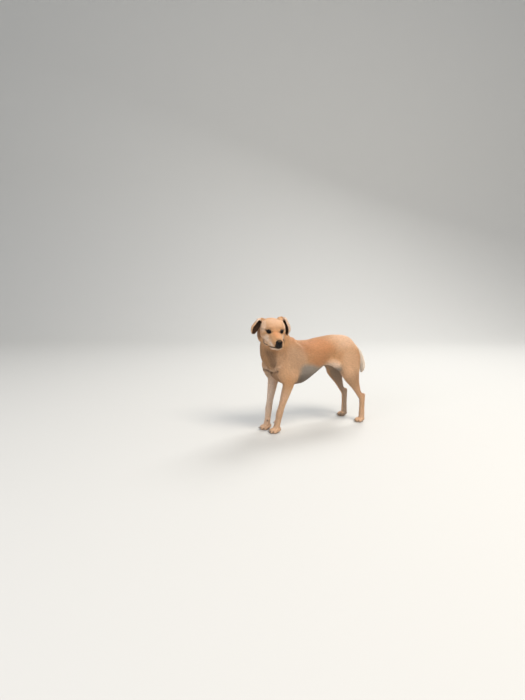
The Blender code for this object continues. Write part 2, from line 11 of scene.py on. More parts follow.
import bmesh
import bpy
import numpy as np
from mathutils import Matrix, Vector

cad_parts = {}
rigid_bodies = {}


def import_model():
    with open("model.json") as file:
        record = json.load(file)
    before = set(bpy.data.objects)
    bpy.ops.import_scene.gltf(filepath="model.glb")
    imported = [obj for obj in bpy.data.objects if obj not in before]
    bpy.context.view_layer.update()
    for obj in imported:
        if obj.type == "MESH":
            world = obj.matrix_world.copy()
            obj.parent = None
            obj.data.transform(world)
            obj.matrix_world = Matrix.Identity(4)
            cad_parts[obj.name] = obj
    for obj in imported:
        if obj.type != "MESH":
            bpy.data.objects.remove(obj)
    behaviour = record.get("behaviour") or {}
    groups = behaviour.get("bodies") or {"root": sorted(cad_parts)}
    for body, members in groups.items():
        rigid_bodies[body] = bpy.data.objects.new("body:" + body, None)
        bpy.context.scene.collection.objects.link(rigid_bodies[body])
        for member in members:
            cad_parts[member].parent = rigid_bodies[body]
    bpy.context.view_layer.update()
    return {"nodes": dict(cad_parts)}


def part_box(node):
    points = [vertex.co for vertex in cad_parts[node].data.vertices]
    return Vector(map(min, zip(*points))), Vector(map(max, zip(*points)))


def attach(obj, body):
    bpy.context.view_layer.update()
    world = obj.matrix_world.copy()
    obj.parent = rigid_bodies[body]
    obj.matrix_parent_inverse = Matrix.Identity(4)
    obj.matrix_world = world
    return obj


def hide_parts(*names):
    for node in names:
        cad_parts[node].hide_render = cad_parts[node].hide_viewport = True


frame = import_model()
FLESH = [name for name in frame["nodes"] if not name.startswith(("claw", "dewclaw", "eye"))]
print("flesh solids to stand for:", len(FLESH))

# %% [markdown]
# ## Colours and nodes
# Colours are written as the hex values that a painter would mix. One function makes them linear,
# and one function adds a node, its settings and its links, so every material below stays short.


# %%
# One colour helper and one node helper
def hex_colour(code):
    """A linear RGBA colour from an sRGB hex value such as "C98F5A"."""
    shares = [int(code[i : i + 2], 16) / 255 for i in (0, 2, 4)]
    return (*(c / 12.92 if c <= 0.04045 else ((c + 0.055) / 1.055) ** 2.4 for c in shares), 1)


def add_node(tree, kind, settings=None, *first, **inputs):
    """Adds a node. Settings are its own properties. Inputs are values or sockets, the first ones in
    order and others by name, where _ stands for a space and i2 for the socket numbered 2."""
    node = tree.nodes.new(kind)
    for name, value in (settings or {}).items():
        setattr(node, name, value)
    for name, value in {**{f"i{k}": value for k, value in enumerate(first)}, **inputs}.items():
        key = int(name[1:]) if name[0] == "i" and name[1:].isdigit() else name.replace("_", " ")
        socket = node.inputs[key]
        if isinstance(value, bpy.types.NodeSocket):
            tree.links.new(value, socket)
        else:
            socket.default_value = value
    return node


# Settings of the maths and mix nodes below
TIMES, MINUS, LESSER = {"operation": "MULTIPLY"}, {"operation": "SUBTRACT"}, {"operation": "MINIMUM"}
TIMES_PLUS, SCALED, ADDED = {"operation": "MULTIPLY_ADD"}, {"operation": "SCALE"}, {"operation": "ADD"}
COLOUR_MIX = {"data_type": "RGBA", "clamp_factor": True}

# %% [markdown]
# ## The dog's measures
# The same tables shape the CAD solids. They are in millimetres, as (forward, left, up) from the
# ground under the dog, and the head has a frame of its own: (side, forward, up) from the point
# where it turns on the neck. Named tables keep the proportions easy to read and to change.

# %%
# Body tables
MM = 0.001
HEAD_AT = (220, -20, 582)
HEAD_TURN_LEFT, HEAD_TIP_DOWN, HEAD_LEAN = 75.0, 17.0, 2.0
FORE_STANCE = {
    "left": {
        "shoulder": (204, 76, 350),
        "elbow": (168, 82, 268),
        "carpus": (201, 50, 113),
        "paw": (216, 31),
    },
    "right": {
        "shoulder": (204, -78, 350),
        "elbow": (166, -86, 268),
        "carpus": (207, -62, 113),
        "paw": (230, -52),
    },
}
HIND_STANCE = {
    "left": {"stifle": (-226, 84, 288), "hock": (-334, 76, 147), "paw": (-324, 72)},
    "right": {"stifle": (-232, -84, 288), "hock": (-324, -80, 148), "paw": (-312, -80)},
}
# forward, top, underside, half width, height of the widest level
TRUNK = [
    (230, 368, 326, 24, 0.50),
    (216, 410, 298, 54, 0.52),
    (188, 452, 272, 76, 0.52),
    (150, 486, 257, 89, 0.54),
    (100, 497, 250, 97, 0.54),
    (45, 493, 253, 101, 0.52),
    (-10, 492, 284, 99, 0.50),
    (-60, 500, 315, 90, 0.50),
    (-108, 506, 341, 79, 0.50),
    (-155, 511, 350, 73, 0.52),
    (-205, 510, 354, 74, 0.54),
    (-250, 504, 354, 74, 0.55),
    (-284, 487, 362, 62, 0.55),
    (-305, 456, 376, 42, 0.52),
    (-318, 430, 392, 20, 0.50),
]
# forward, left, up, half depth, half width
NECK = [
    (142, 0, 414, 106, 76),
    (177, 0, 438, 110, 73),
    (191, -4, 470, 99, 68),
    (199, -9, 508, 84, 62),
    (208, -14, 545, 69, 56),
    (214, -18, 566, 54, 49),
]
CREST = [(70, 0, 464, 32, 40), (112, -3, 485, 27, 44), (152, -8, 506, 26, 46), (184, -12, 535, 20, 42)]
# forward, left, up, radius
TAIL = [
    (-258, 0, 448, 34),
    (-291, 0, 437, 30),
    (-322, 1, 415, 26.5),
    (-350, 2, 387, 24),
    (-369, 4, 353, 22),
    (-379, 6, 322, 19.5),
    (-379, 9, 296, 15),
    (-373, 11, 276, 8),
]
# height, front, back, distance from the middle, half thickness
THIGH = [
    (492, -190, -236, 40, 10),
    (478, -166, -268, 46, 22),
    (450, -146, -295, 51, 33),
    (415, -136, -313, 55, 40),
    (375, -134, -317, 59, 41),
    (335, -148, -312, 66, 38),
    (300, -176, -304, 74, 34),
    (268, -198, -301, 79, 29),
    (240, -226, -303, 80, 24),
    (216, -254, -300, 79, 12),
]
THIGH_LEAN = (0, 0, 0, 0, 0.4, 0.8, 1, 1, 1, 1)  # how far each section's front follows the knee
TOES = [(-18.5, 4, 0.92), (-7.2, 17, 1.0), (7.2, 17, 1.0), (18.5, 4, 0.92)]
DEWCLAW = (-11, 16, 58)

# %%
# Head tables
# forward, top, underside, half width, squareness above and below, height of the widest level
SKULL = [
    (-34, 4, -16, 10, 2.0, 2.0, -6),
    (-26, 24, -38, 33, 2.0, 2.0, -5),
    (-10, 39, -56, 50, 2.1, 2.0, -3),
    (12, 45, -64, 61, 2.6, 2.0, 0),
    (38, 48, -69, 66, 3.1, 2.1, 0),
    (62, 48, -72, 67, 3.1, 2.1, -6),
    (84, 44, -72, 61, 2.8, 2.2, -12),
    (100, 34, -72, 51, 2.4, 2.3, -18),
    (112, 19, -71, 42, 2.3, 2.4, -24),
    (126, 9, -70, 37, 2.4, 2.6, -28),
    (145, 5, -68, 34.5, 2.5, 2.8, -30),
    (165, 2, -65, 32, 2.5, 2.8, -31),
    (181, -1, -61, 29, 2.5, 2.6, -30),
    (194, -5, -54, 23, 2.4, 2.4, -28),
    (201, -11, -43, 12, 2.1, 2.1, -25),
]
EYE_SIDE, EYE_FORWARD, EYE_UP = 31.5, 100, 7
# The ear's middle line: side, forward, up, half widths of its curled section
EAR = [
    (42, 26, 22, 15, 14),
    (51, 28, 38, 19, 16),
    (60, 31, 45, 21, 17),
    (66, 35, 41, 21, 17),
    (75, 39, 27, 23, 16),
    (87, 43, 7, 25, 15),
    (93, 46, -15, 21, 12),
    (100, 48, -36, 6, 5),
]
EAR_FLARE = {"left": 0.55, "right": 1.0}
EAR_LIFT = {"left": 9, "right": 1}
EAR_FOLD = 58
EAR_CURL = {"left": (-150, 70), "right": (-150, 46)}
EAR_THICKNESS = 3.4
SIDES = {"left": 1, "right": -1}


def head_frame():
    """Takes the head's own frame, in mm, to metres in the dog's frame, before SHIFT."""
    turn = Matrix.Rotation(math.radians(HEAD_TURN_LEFT), 4, "Z")
    tip = Matrix.Rotation(math.radians(HEAD_TIP_DOWN), 4, "X")
    lean = Matrix.Rotation(math.radians(HEAD_LEAN), 4, "Y")
    facing = Matrix(((1, 0, 0, 0), (0, -1, 0, 0), (0, 0, 1, 0), (0, 0, 0, 1)))
    place = Matrix.Translation((HEAD_AT[1] * MM, -HEAD_AT[0] * MM, HEAD_AT[2] * MM))
    return place @ turn @ tip @ lean @ facing @ Matrix.Scale(MM, 4)


def box_middle(node):
    low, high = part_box(node)
    return (low + high) / 2


# The CAD dog was moved so that its box stands over the origin. Its eyes say by how much.
EYES_AT = {side: box_middle("eye_" + side) for side in SIDES}
plain_eyes = [head_frame() @ Vector((EYE_SIDE * out, EYE_FORWARD, EYE_UP)) for out in SIDES.values()]
SHIFT = (sum(EYES_AT.values(), Vector()) - sum(plain_eyes, Vector())) / 2
SHIFT.z = 0
HEAD = Matrix.Translation(SHIFT) @ head_frame()
print("dog's frame moved by", [round(v, 4) for v in SHIFT])


def at(forward, left, up):
    """The scene's point for one in the dog's own millimetres."""
    return Vector((left, -forward, up)) * MM + SHIFT


# %% [markdown]
# ## Camera, light and floor
# A studio shot needs a camera, a floor that rises into a backdrop, a big soft key light and a
# weak fill. The camera stands to the dog's left front, a little above its head, and tips down.

# %%
# The camera
CAMERA_AZIMUTH, CAMERA_TIP = 62.0, 8.65
CAMERA_AWAY, CAMERA_UP, CAMERA_ASIDE = 2.88, 0.872, 0.246
LENS, SENSOR = 27.0514286, 36  # mm
turned, tipped = math.radians(CAMERA_AZIMUTH), math.radians(CAMERA_TIP)
towards = Vector((math.sin(turned), -math.cos(turned), 0))
aside = Vector((math.cos(turned), math.sin(turned), 0))
camera = bpy.data.objects.new("camera", bpy.data.cameras.new("camera"))
camera.data.sensor_width = SENSOR
camera.data.lens = LENS
camera.location = towards * CAMERA_AWAY + Vector((0, 0, CAMERA_UP)) - aside * CAMERA_ASIDE + SHIFT
camera.rotation_mode = "QUATERNION"
looking = -towards * math.cos(tipped) - Vector((0, 0, math.sin(tipped)))
camera.rotation_quaternion = looking.to_track_quat("-Z", "Y")
camera.data.clip_end = 60
bpy.context.scene.collection.objects.link(camera)
bpy.context.scene.camera = camera
print("camera at", [round(v, 3) for v in camera.location])


# %%
# Plain objects and their meshes
def new_object(name, mesh):
    obj = bpy.data.objects.new(name, mesh)
    bpy.context.scene.collection.objects.link(obj)
    return obj


def mesh_object(name, bm, outward=True):
    if outward:
        bmesh.ops.recalc_face_normals(bm, faces=bm.faces)
    mesh = bpy.data.meshes.new(name)
    bm.to_mesh(mesh)
    bm.free()
    return new_object(name, mesh)


def new_material(name, **values):
    """A material with its Principled shader's sockets set, and the shader."""
    made = bpy.data.materials.new(name)
    made.use_nodes = True
    shader = made.node_tree.nodes["Principled BSDF"]
    for key, value in values.items():
        shader.inputs[key.replace("_", " ")].default_value = value
    return made, shader


# %%
# Floor, backdrop and lamps
def add_backdrop():
    """A pale sweep: a flat floor, a round rise behind the dog and a wall."""
    reach, rise, wide = 6.0, 2.5, 12.0
    profile = [(-7.0, 0.0), (reach - rise, 0.0)]
    profile += [
        (reach - rise + rise * math.sin(math.radians(a)), rise - rise * math.cos(math.radians(a)))
        for a in range(6, 91, 6)
    ]
    profile.append((reach, 9.0))
    bm = bmesh.new()
    rows = []
    for away, up in profile:
        middle = -towards * away + Vector((0, 0, up))
        rows.append([bm.verts.new(middle + aside * wide * s) for s in (-1, 1)])
    for near, far in zip(rows, rows[1:]):
        bm.faces.new((near[0], near[1], far[1], far[0]))
    sweep = mesh_object("studio_sweep", bm, outward=False)
    sweep.data.shade_smooth()
    paper, shader = new_material("matt_backdrop_paper", Roughness=0.9, Specular_IOR_Level=0.2)
    shader.inputs["Base Color"].default_value = hex_colour("C4C3BF")
    sweep.data.materials.append(paper)


MIDDLE = Vector((0, 0, 0.3))
# name, towards the camera, aside and up from the dog's middle, watts, size, tint
LAMPS = [
    ("key_softbox", 2.6, 2.2, 4.6, 290, 2.4, "FFF6EA"),
    ("fill_softbox", 4.2, -3.6, 2.2, 120, 3.2, "EAF1FF"),
    ("rim_softbox", -3.0, 1.6, 4.0, 190, 2.2, "FFFFFF"),
]


def add_lamp(name, ahead, sideways, up, watts, size, tint):
    """A square lamp that looks at the dog."""
    lamp = bpy.data.lights.new(name, "AREA")
    lamp.energy = watts
    lamp.size = size
    lamp.color = hex_colour(tint)[:3]
    obj = new_object(name, lamp)
    obj.location = MIDDLE + towards * ahead + aside * sideways + Vector((0, 0, up))
    obj.rotation_mode = "QUATERNION"
    obj.rotation_quaternion = (MIDDLE - obj.location).to_track_quat("-Z", "Y")


add_backdrop()
for lamp in LAMPS:
    add_lamp(*lamp)
world = bpy.data.worlds.new("studio")
bpy.context.scene.world = world
world.use_nodes = True
world.node_tree.nodes["Background"].inputs["Color"].default_value = hex_colour("E4E8EE")
world.node_tree.nodes["Background"].inputs["Strength"].default_value = 0.62
bpy.context.scene.view_settings.view_transform = "Standard"
print("lamps:", [name for name, *_ in LAMPS])

# %% [markdown]
# ## Flesh from overlapping forms
# A dog's body could be sculpted by hand, or built as lofts and ellipsoids that stand for its
# masses: chest, neck, skull, shoulder, thigh. Here overlapping closed forms are fused by a voxel
# remesh and smoothed, once coarsely for the big masses and once finely for head, ears and toes.


# %%
# Smooth rows and lofts
def smooth_rows(rows, per_span=4):
    """Rows of numbers, with rows of a Catmull-Rom curve through them put in between."""
    table = np.array(rows, float)
    padded = np.vstack([2 * table[0] - table[1], table, 2 * table[-1] - table[-2]])
    found = []
    for i in range(len(table) - 1):
        a, b, c, d = padded[i : i + 4]
        for t in np.arange(per_span) / per_span:
            cubic = (3 * b - a - 3 * c + d) * t**3
            found.append(0.5 * (2 * b + (c - a) * t + (2 * a - 5 * b + 4 * c - d) * t**2 + cubic))
    found.append(table[-1])
    return found


def oval(angle, squareness):
    """Sideways and upward shares of a superellipse at an angle from the top."""
    s, c = math.sin(angle), math.cos(angle)
    power = 2 / squareness
    return math.copysign(abs(s) ** power, s), math.copysign(abs(c) ** power, c)


def add_loft(bm, rings):
    """A closed tube through rings of points that all have the same count."""
    rows = [[bm.verts.new(p) for p in ring] for ring in rings]
    count = len(rows[0])
    for near, far in zip(rows, rows[1:]):
        for i in range(count):
            j = (i + 1) % count
            bm.faces.new((near[i], near[j], far[j], far[i]))
    bm.faces.new(list(reversed(rows[0])))
    bm.faces.new(rows[-1])


# %%
# Limbs and muscles
ROUND_END = [(0.43, 0.9), (0.78, 0.62), (0.97, 0.26)]  # rings past a limb's end: shift and size
LEFTWARDS = Vector((1, 0, 0))


def add_limb(bm, rows, sides=20):
    """A round-ended tube along (forward, left, up, half depth, half width) rows."""
    rows = smooth_rows(rows)
    centres = [at(*row[:3]) for row in rows]
    turns = [2 * math.pi * k / sides for k in range(sides)]
    rings = []
    for i, row in enumerate(rows):
        along = (centres[min(i + 1, len(rows) - 1)] - centres[max(i - 1, 0)]).normalized()
        across = (LEFTWARDS - along * LEFTWARDS.dot(along)).normalized()
        deep = along.cross(across) * row[3] * MM
        wide = across * row[-1] * MM
        ahead = along * row[-1] * MM
        caps = [(0.0, 1.0)]
        if i == 0:
            caps = [(-shift, size) for shift, size in reversed(ROUND_END)] + caps
        elif i == len(rows) - 1:
            caps = caps + ROUND_END
        for shift, size in caps:
            middle = centres[i] + ahead * shift
            rings.append([middle + (deep * math.cos(t) + wide * math.sin(t)) * size for t in turns])
    add_loft(bm, rings)


def add_ball(bm, shape):
    bmesh.ops.create_uvsphere(bm, u_segments=20, v_segments=14, radius=1, matrix=shape)


def add_muscle(bm, centre, radii, tilt=0.0):
    """An ellipsoid at (forward, left, up), with radii in the same order. Tilt lifts its front."""
    turn = Matrix.Rotation(math.radians(-tilt), 4, "X")
    sizes = Matrix.Diagonal((radii[1] * MM, radii[0] * MM, radii[2] * MM, 1))
    add_ball(bm, Matrix.Translation(at(*centre)) @ turn @ sizes)


def add_head_form(bm, centre, radii, tilt=0.0, yaw=0.0):
    """An ellipsoid in the head's frame, as (side, forward, up) and radii in that order."""
    turn = Matrix.Rotation(math.radians(yaw), 4, "Z") @ Matrix.Rotation(math.radians(tilt), 4, "X")
    add_ball(bm, HEAD @ Matrix.Translation(centre) @ turn @ Matrix.Diagonal((*radii, 1)))


def between(a, b, share):
    return tuple(p + (q - p) * share for p, q in zip(a, b))


# %%
# Trunk, neck and tail
def oval_ring(place, half_width, level, top, under, above, below, sides=36):
    """An upright section whose upper and lower halves are superellipses of their own."""
    ring = []
    for k in range(sides):
        angle = 2 * math.pi * k / sides
        upper = math.cos(angle) >= 0
        sideways, upward = oval(angle, above if upper else below)
        reach = (top - level) if upper else (level - under)
        ring.append(place(half_width * sideways, level + reach * upward))
    return ring


TRUNK_SQUARENESS = 2.15, 1.95  # above and below the widest level


def add_trunk(bm):
    rings = []
    for forward, top, under, half, widest in smooth_rows(TRUNK):
        level = under + (top - under) * widest
        rings.append(
            oval_ring(lambda s, u: at(forward, s, u), half, level, top, under, *TRUNK_SQUARENESS)
        )
    add_loft(bm, rings)


def add_skull(bm):
    rings = []
    for forward, top, under, half, above, below, level in smooth_rows(SKULL):
        rings.append(
            oval_ring(lambda s, u: HEAD @ Vector((s, forward, u)), half, level, top, under, above, below)
        )
    add_loft(bm, rings)


# %%
# Forelegs
def add_forelegs(bm):
    """Shoulder blades, upper arms and the forelegs down to the paws."""
    for side, joint in FORE_STANCE.items():
        out = SIDES[side]
        shoulder, elbow, carpus, paw = joint["shoulder"], joint["elbow"], joint["carpus"], joint["paw"]
        add_limb(bm, [(106, 36 * out, 458, 30, 18), (146, 58 * out, 424, 54, 30), (*shoulder, 44, 30)])
        upper = between(shoulder, elbow, 0.5)
        add_limb(bm, [(*shoulder, 40, 30), (upper[0] - 16, *upper[1:], 50, 29), (*elbow, 32, 25)])
        add_muscle(bm, (elbow[0] - 26, elbow[1] - 5 * out, elbow[2] + 40), (34, 24, 44), tilt=-30)
        add_muscle(bm, (elbow[0] - 18, elbow[1], elbow[2] + 6), (16, 15, 19), tilt=-20)
        forearm = between(elbow, carpus, 0.28)
        narrow = between(elbow, carpus, 0.74)
        pastern = between(carpus, (paw[0] - 8, paw[1], 26), 0.55)
        rows = [(*elbow, 33, 27), (*forearm, 28, 25), (*narrow, 20, 18.5), (*carpus, 20.5, 20)]
        rows += [(*pastern, 17, 18), (paw[0] - 6, paw[1], 27, 20, 22)]
        add_limb(bm, rows)


# %%
# Hind legs
def add_thigh(bm, out, stifle, sides=24):
    lean = stifle[0] + 226
    rings = []
    rows = [(up, front + lean * share, *rest) for (up, front, *rest), share in zip(THIGH, THIGH_LEAN)]
    for up, front, back, left, thick in smooth_rows(rows):
        middle, reach = (front + back) / 2, (front - back) / 2
        turns = [oval(2 * math.pi * k / sides, 2.1) for k in range(sides)]
        rings.append([at(middle + reach * along, left * out + thick * wide, up) for wide, along in turns])
    add_loft(bm, rings)


def add_hindlegs(bm):
    """Thighs, lower thighs, hocks and the hind legs down to the paws."""
    for side, joint in HIND_STANCE.items():
        out = SIDES[side]
        stifle, hock, paw = joint["stifle"], joint["hock"], joint["paw"]
        add_thigh(bm, out, stifle)
        top = (stifle[0] - 4, stifle[1] - 2 * out, stifle[2] + 30)
        gaskin = between(stifle, hock, 0.42)
        low = between(stifle, hock, 0.78)
        rows = [(*top, 46, 28), (*stifle, 39, 30), (gaskin[0] - 3, *gaskin[1:], 31, 25)]
        add_limb(bm, [*rows, (low[0] + 6, *low[1:], 20, 17), (hock[0] + 4, hock[1], hock[2] - 2, 19, 16)])
        add_muscle(bm, (hock[0] - 9, hock[1], hock[2] + 8), (12, 11.5, 19), tilt=12)
        fold = [(-48, 64 * out, 379, 26, 17), (-88, 70 * out, 375, 25, 15), (-124, 76 * out, 363, 23, 15)]
        add_limb(bm, [*fold, (stifle[0] + 66, 80 * out, 338, 22, 20)])  # fold of skin at the flank
        heel = (paw[0] - 12, paw[1], 28)
        mid = between(hock, heel, 0.5)
        add_limb(bm, [(hock[0], hock[1], hock[2] + 6, 21, 16), (*mid, 17.5, 15.5), (*heel, 19, 20)])


# %%
# Paws
def add_paws(bm):
    for side, joint in FORE_STANCE.items():
        forward, left = joint["paw"]
        behind, inwards, up = DEWCLAW
        add_muscle(bm, (forward + behind, left - inwards * SIDES[side], up), (12, 8, 9), tilt=-50)
    paws = [(joint["paw"], 1.0) for joint in FORE_STANCE.values()]
    paws += [(joint["paw"], 0.93) for joint in HIND_STANCE.values()]
    for (forward, left), size in paws:
        add_muscle(bm, (forward - 12 * size, left, 19 * size), (22 * size, 22 * size, 17 * size))
        for sideways, ahead, part in TOES:
            toe = size * part
            place = (forward + ahead * size, left + sideways * size)
            add_muscle(bm, (place[0], place[1], 16 * toe), (19 * toe, 8.4 * toe, 13.5 * toe), tilt=-14)
            add_muscle(bm, (place[0] + 7 * toe, place[1], 7.5 * toe), (12 * toe, 8 * toe, 9.5 * toe))


# %%
# The face: forms on both sides of the skull, as centre and radii (side, forward, up), tilt and yaw
SIDE_FORMS = [
    ((44, 60, -22), (22, 36, 26), -8, -8),  # cheek
    ((34, 50, 24), (26, 36, 24), 0, -6),  # temple
    ((22, 92, 27), (15, 14, 10), -20, 0),  # brow
    ((27, 128, -44), (16, 40, 19), -3, 8),  # flew
    ((18, 172, -32), (14.5, 24, 17), -6, 6),  # upper lip
    ((35, 90, -59), (19, 34, 18), 0, 0),  # corner of the mouth
    ((16, 136, -57), (19, 42, 17), 0, 0),  # side of the lower jaw
    ((9.5, 194.5, -13), (11, 8.5, 11.5), 0, 0),  # wing of the nose
    ((44, 6, -46), (27, 34, 50), 0, 0),  # behind the jaw
    ((47, 30, 26), (15, 16, 16), 0, -10),  # root of the ear
]
MIDDLE_FORMS = [
    ((0, 148, 0), (19, 50, 10), -4),  # bridge
    ((0, 196.5, -8), (13.5, 9, 12), 0),  # nose
    ((0, 166, -56), (19, 28, 12), 6),  # chin
    ((0, 90, -54), (42, 50, 24), 0),  # angle of the jaws
]
EAR_ROOT = (40, 31, 31)  # a form here fills the curl of each ear
EAR_ROOT_SIZE = (17, 15, 15)


def add_face(bm):
    """Cheeks, brows, muzzle bridge, lips, chin and nose over the plain skull."""
    for out in SIDES.values():
        for (side, forward, up), radii, tilt, yaw in SIDE_FORMS:
            add_head_form(bm, (side * out, forward, up), radii, tilt, yaw * out)
    for centre, radii, tilt in MIDDLE_FORMS:
        add_head_form(bm, centre, radii, tilt)
    for side, out in SIDES.items():
        sideways, forward, up = EAR_ROOT
        add_head_form(bm, (out * sideways, forward, up + EAR_LIFT[side]), EAR_ROOT_SIZE)


# %%
# Ears
def ear_point(side, row, turn):
    """A point on an ear's middle surface: row is one of EAR's, and turn goes round its curl."""
    sideways, forward, up, wide, deep = row
    flare = EAR_FLARE[side] if sideways > EAR_FOLD else 1
    spread = EAR_FOLD + (sideways - EAR_FOLD) * flare
    lift = EAR_LIFT[side] * max(up, 0) / 45
    x = spread + wide * math.cos(turn) - lift
    return Vector((x * SIDES[side], forward + deep * math.sin(turn), up + lift))


def ear_flap(side, across=24):
    """An ear as a curled sheet with a thickness, from its root over the fold to its tip."""
    bm = bmesh.new()
    grid = []
    for row in smooth_rows(EAR, 5):
        turns = np.radians(np.linspace(*EAR_CURL[side], across + 1))
        grid.append([bm.verts.new(HEAD @ ear_point(side, row, turn)) for turn in turns])
    for upper, lower in zip(grid, grid[1:]):
        for k in range(across):
            bm.faces.new((upper[k], upper[k + 1], lower[k + 1], lower[k]))
    flap = mesh_object("ear_flap", bm)
    shell = flap.modifiers.new("thickness", "SOLIDIFY")
    shell.thickness = EAR_THICKNESS * MM
    shell.offset = 0
    return applied(flap)


# %%
# Fusing the forms
def applied(obj):
    """The object with its modifiers made part of its mesh."""
    graph = bpy.context.evaluated_depsgraph_get()
    mesh = bpy.data.meshes.new_from_object(obj.evaluated_get(graph))
    obj.modifiers.clear()
    obj.data = mesh
    return obj


BIG_VOXEL, FINE_VOXEL = 0.005, 0.0016
BIG_ROUNDS, FINE_ROUNDS = 16, 9  # of smoothing


def fused(obj, voxel, rounds):
    """The object's forms as one skin of small faces, smoothed some rounds."""
    remesh = obj.modifiers.new("fuse", "REMESH")
    remesh.mode = "VOXEL"
    remesh.voxel_size = voxel
    smooth = obj.modifiers.new("soften", "SMOOTH")
    smooth.factor = 0.5
    smooth.iterations = rounds
    return applied(obj)


def pour(bm, obj):
    """Adds an object's mesh to a bmesh and removes the object."""
    bm.from_mesh(obj.data)
    bpy.data.objects.remove(obj)


def make_flesh():
    bm = bmesh.new()
    add_trunk(bm)
    add_limb(bm, NECK, sides=28)
    add_limb(bm, CREST)
    add_forelegs(bm)
    add_hindlegs(bm)
    add_limb(bm, TAIL, sides=16)
    add_muscle(bm, (206, 0, 348), (28, 52, 36))  # breast
    add_muscle(bm, (55, 0, 448), (86, 60, 46), tilt=10)  # withers
    big = fused(mesh_object("big_forms", bm), BIG_VOXEL, BIG_ROUNDS)
    bm = bmesh.new()
    add_skull(bm)
    add_face(bm)
    add_paws(bm)
    for side in SIDES:
        pour(bm, ear_flap(side))
    pour(bm, big)
    return fused(mesh_object("flesh", bm), FINE_VOXEL, FINE_ROUNDS)


flesh = make_flesh()
print("flesh faces:", len(flesh.data.polygons))

# %% [markdown]
# ## One skin
# A skin can be modelled by hand on the forms, or made from them by moving points. Here every point
# is moved in by the depth of the coat that will grow there. Fine work comes next, so the mesh is
# thinned where the body is plain, and split finer round the eyes, the nose and the mouth.


# %%
# Numbers in and out of a mesh
def triples(items, field):
    """One vector field of many items, as rows of three numbers."""
    flat = np.empty(len(items) * 3, np.float32)
    items.foreach_get(field, flat)
    return flat.reshape(-1, 3).astype(float)


def points_of(mesh):
    return triples(mesh.vertices, "co")


def normals_of(mesh):
    return triples(mesh.vertex_normals, "vector")


def put_points(mesh, points):
    mesh.vertices.foreach_set("co", points.astype(np.float32).ravel())
    mesh.update()


def dog_mm(points):
    """Points as (forward, left, up) in the dog's own millimetres."""
    plain = (points - np.array(SHIFT)) / MM
    return np.stack([-plain[:, 1], plain[:, 0], plain[:, 2]], 1)


HEAD_BACK = np.array(HEAD.inverted())


def head_mm(points):
    """Points as (side, forward, up) in the head's own millimetres."""
    return points @ HEAD_BACK[:3, :3].T + HEAD_BACK[:3, 3]


# %%
# Folds, steps, bells and lines, by which points are chosen
def folded(points, axis):
    """The same points with the right side folded onto the left."""
    one_side = points.copy()
    one_side[:, axis] = np.abs(one_side[:, axis])
    return one_side


def soft_step(x, low, high):
    """0 up to low, 1 from high on, and a smooth rise between."""
    t = np.clip((x - low) / (high - low), 0, 1)
    return t * t * (3 - 2 * t)


def within(x, low, high):
    return (x > low) & (x < high)


def bell(x, width):
    """1 where x is 0, falling off on both sides over a width."""
    return np.exp(-((x / width) ** 2))


def mound(points, centre, radii):
    """1 at a centre, falling off like a bell over the radii."""
    return np.exp(-(((points - np.array(centre)) / np.array(radii)) ** 2).sum(1))


def off_line(points, line):
    """Each point's distance from a line through some places."""
    line = np.array(line, float)
    best = np.full(len(points), 1e9)
    for a, b in zip(line, line[1:]):
        along = b - a
        share = np.clip((points - a) @ along / (along @ along), 0, 1)
        best = np.minimum(best, np.linalg.norm(points - a - share[:, None] * along, axis=1))
    return best


# %%
# Where the ears and the head are
EAR_SHEETS = {
    side: np.array([
        ear_point(side, row, math.radians(turn))
        for row in smooth_rows(EAR, 4)
        for turn in np.linspace(*EAR_CURL[side], 16)
    ])
    for side in SIDES
}


def ear_share(head):
    """1 on the ears' flaps and 0 elsewhere, for points in the head's frame."""
    share = np.zeros(len(head))
    for side, sheet in EAR_SHEETS.items():
        out = head[:, 0] * SIDES[side]
        near = np.flatnonzero((out > 54) & within(head[:, 2], -60, 70) & within(head[:, 1], 0, 80))
        if len(near) == 0:
            continue
        gaps = []
        for some in np.array_split(near, 40):  # in parts, because the table of gaps is large
            gaps.append(np.linalg.norm(head[some][:, None] - sheet[None], axis=2).min(1))
        gap = np.concatenate(gaps)
        close = (1 - soft_step(gap, 4.5, 8.5)) * soft_step(out[near], 55, 62)
        share[near] = np.maximum(share[near], close)
    return share


def head_share(head):
    """1 on the head and 0 from the neck on."""
    off = head - np.array((0, 75, -10))
    off[:, 1] *= np.where(off[:, 1] > 0, 0.3, 0.87)
    off[:, 2] *= np.where(off[:, 2] < 0, 1.2, 1.0)
    return 1 - soft_step(np.linalg.norm(off, axis=1), 92, 118)


# %%
# Thinning the plain parts and moving the skin in
SKIN_FACES = 64000
# The coat's depth in mm
TRUNK_DEPTH, LEG_DEPTH, CHEEK_DEPTH, MUZZLE_DEPTH, EAR_DEPTH = 3.6, 1.6, 2.0, 0.7, 0.7
NOSE_AT, NOSE_SIZE = np.array((0, 204, -14)), np.array((19.5, 17, 20))


def thinned(obj, triangles):
    """The object with fewer triangles. Curved places keep more of them than flat ones."""
    thin = obj.modifiers.new("thin", "DECIMATE")
    thin.ratio = triangles / (2 * len(obj.data.polygons))
    return applied(obj)


def coat_depth(points):
    """The coat's depth at each point, in mm: thin on face, ears and feet, deepest on the trunk."""
    dog, head = dog_mm(points), head_mm(points)
    depth = np.full(len(points), TRUNK_DEPTH)
    depth += (LEG_DEPTH - depth) * (1 - soft_step(dog[:, 2], 60, 270))
    face = CHEEK_DEPTH - (CHEEK_DEPTH - MUZZLE_DEPTH) * soft_step(head[:, 1], 60, 150)
    depth += (face - depth) * head_share(head)
    depth += (EAR_DEPTH - depth) * ear_share(head)
    depth *= 1 - 0.8 * nose_leather(head)
    return depth


def nose_leather(head):
    """1 on the bare leather of the nose."""
    return 1 - soft_step(np.linalg.norm((head - NOSE_AT) / NOSE_SIZE, axis=1), 0.9, 1.05)


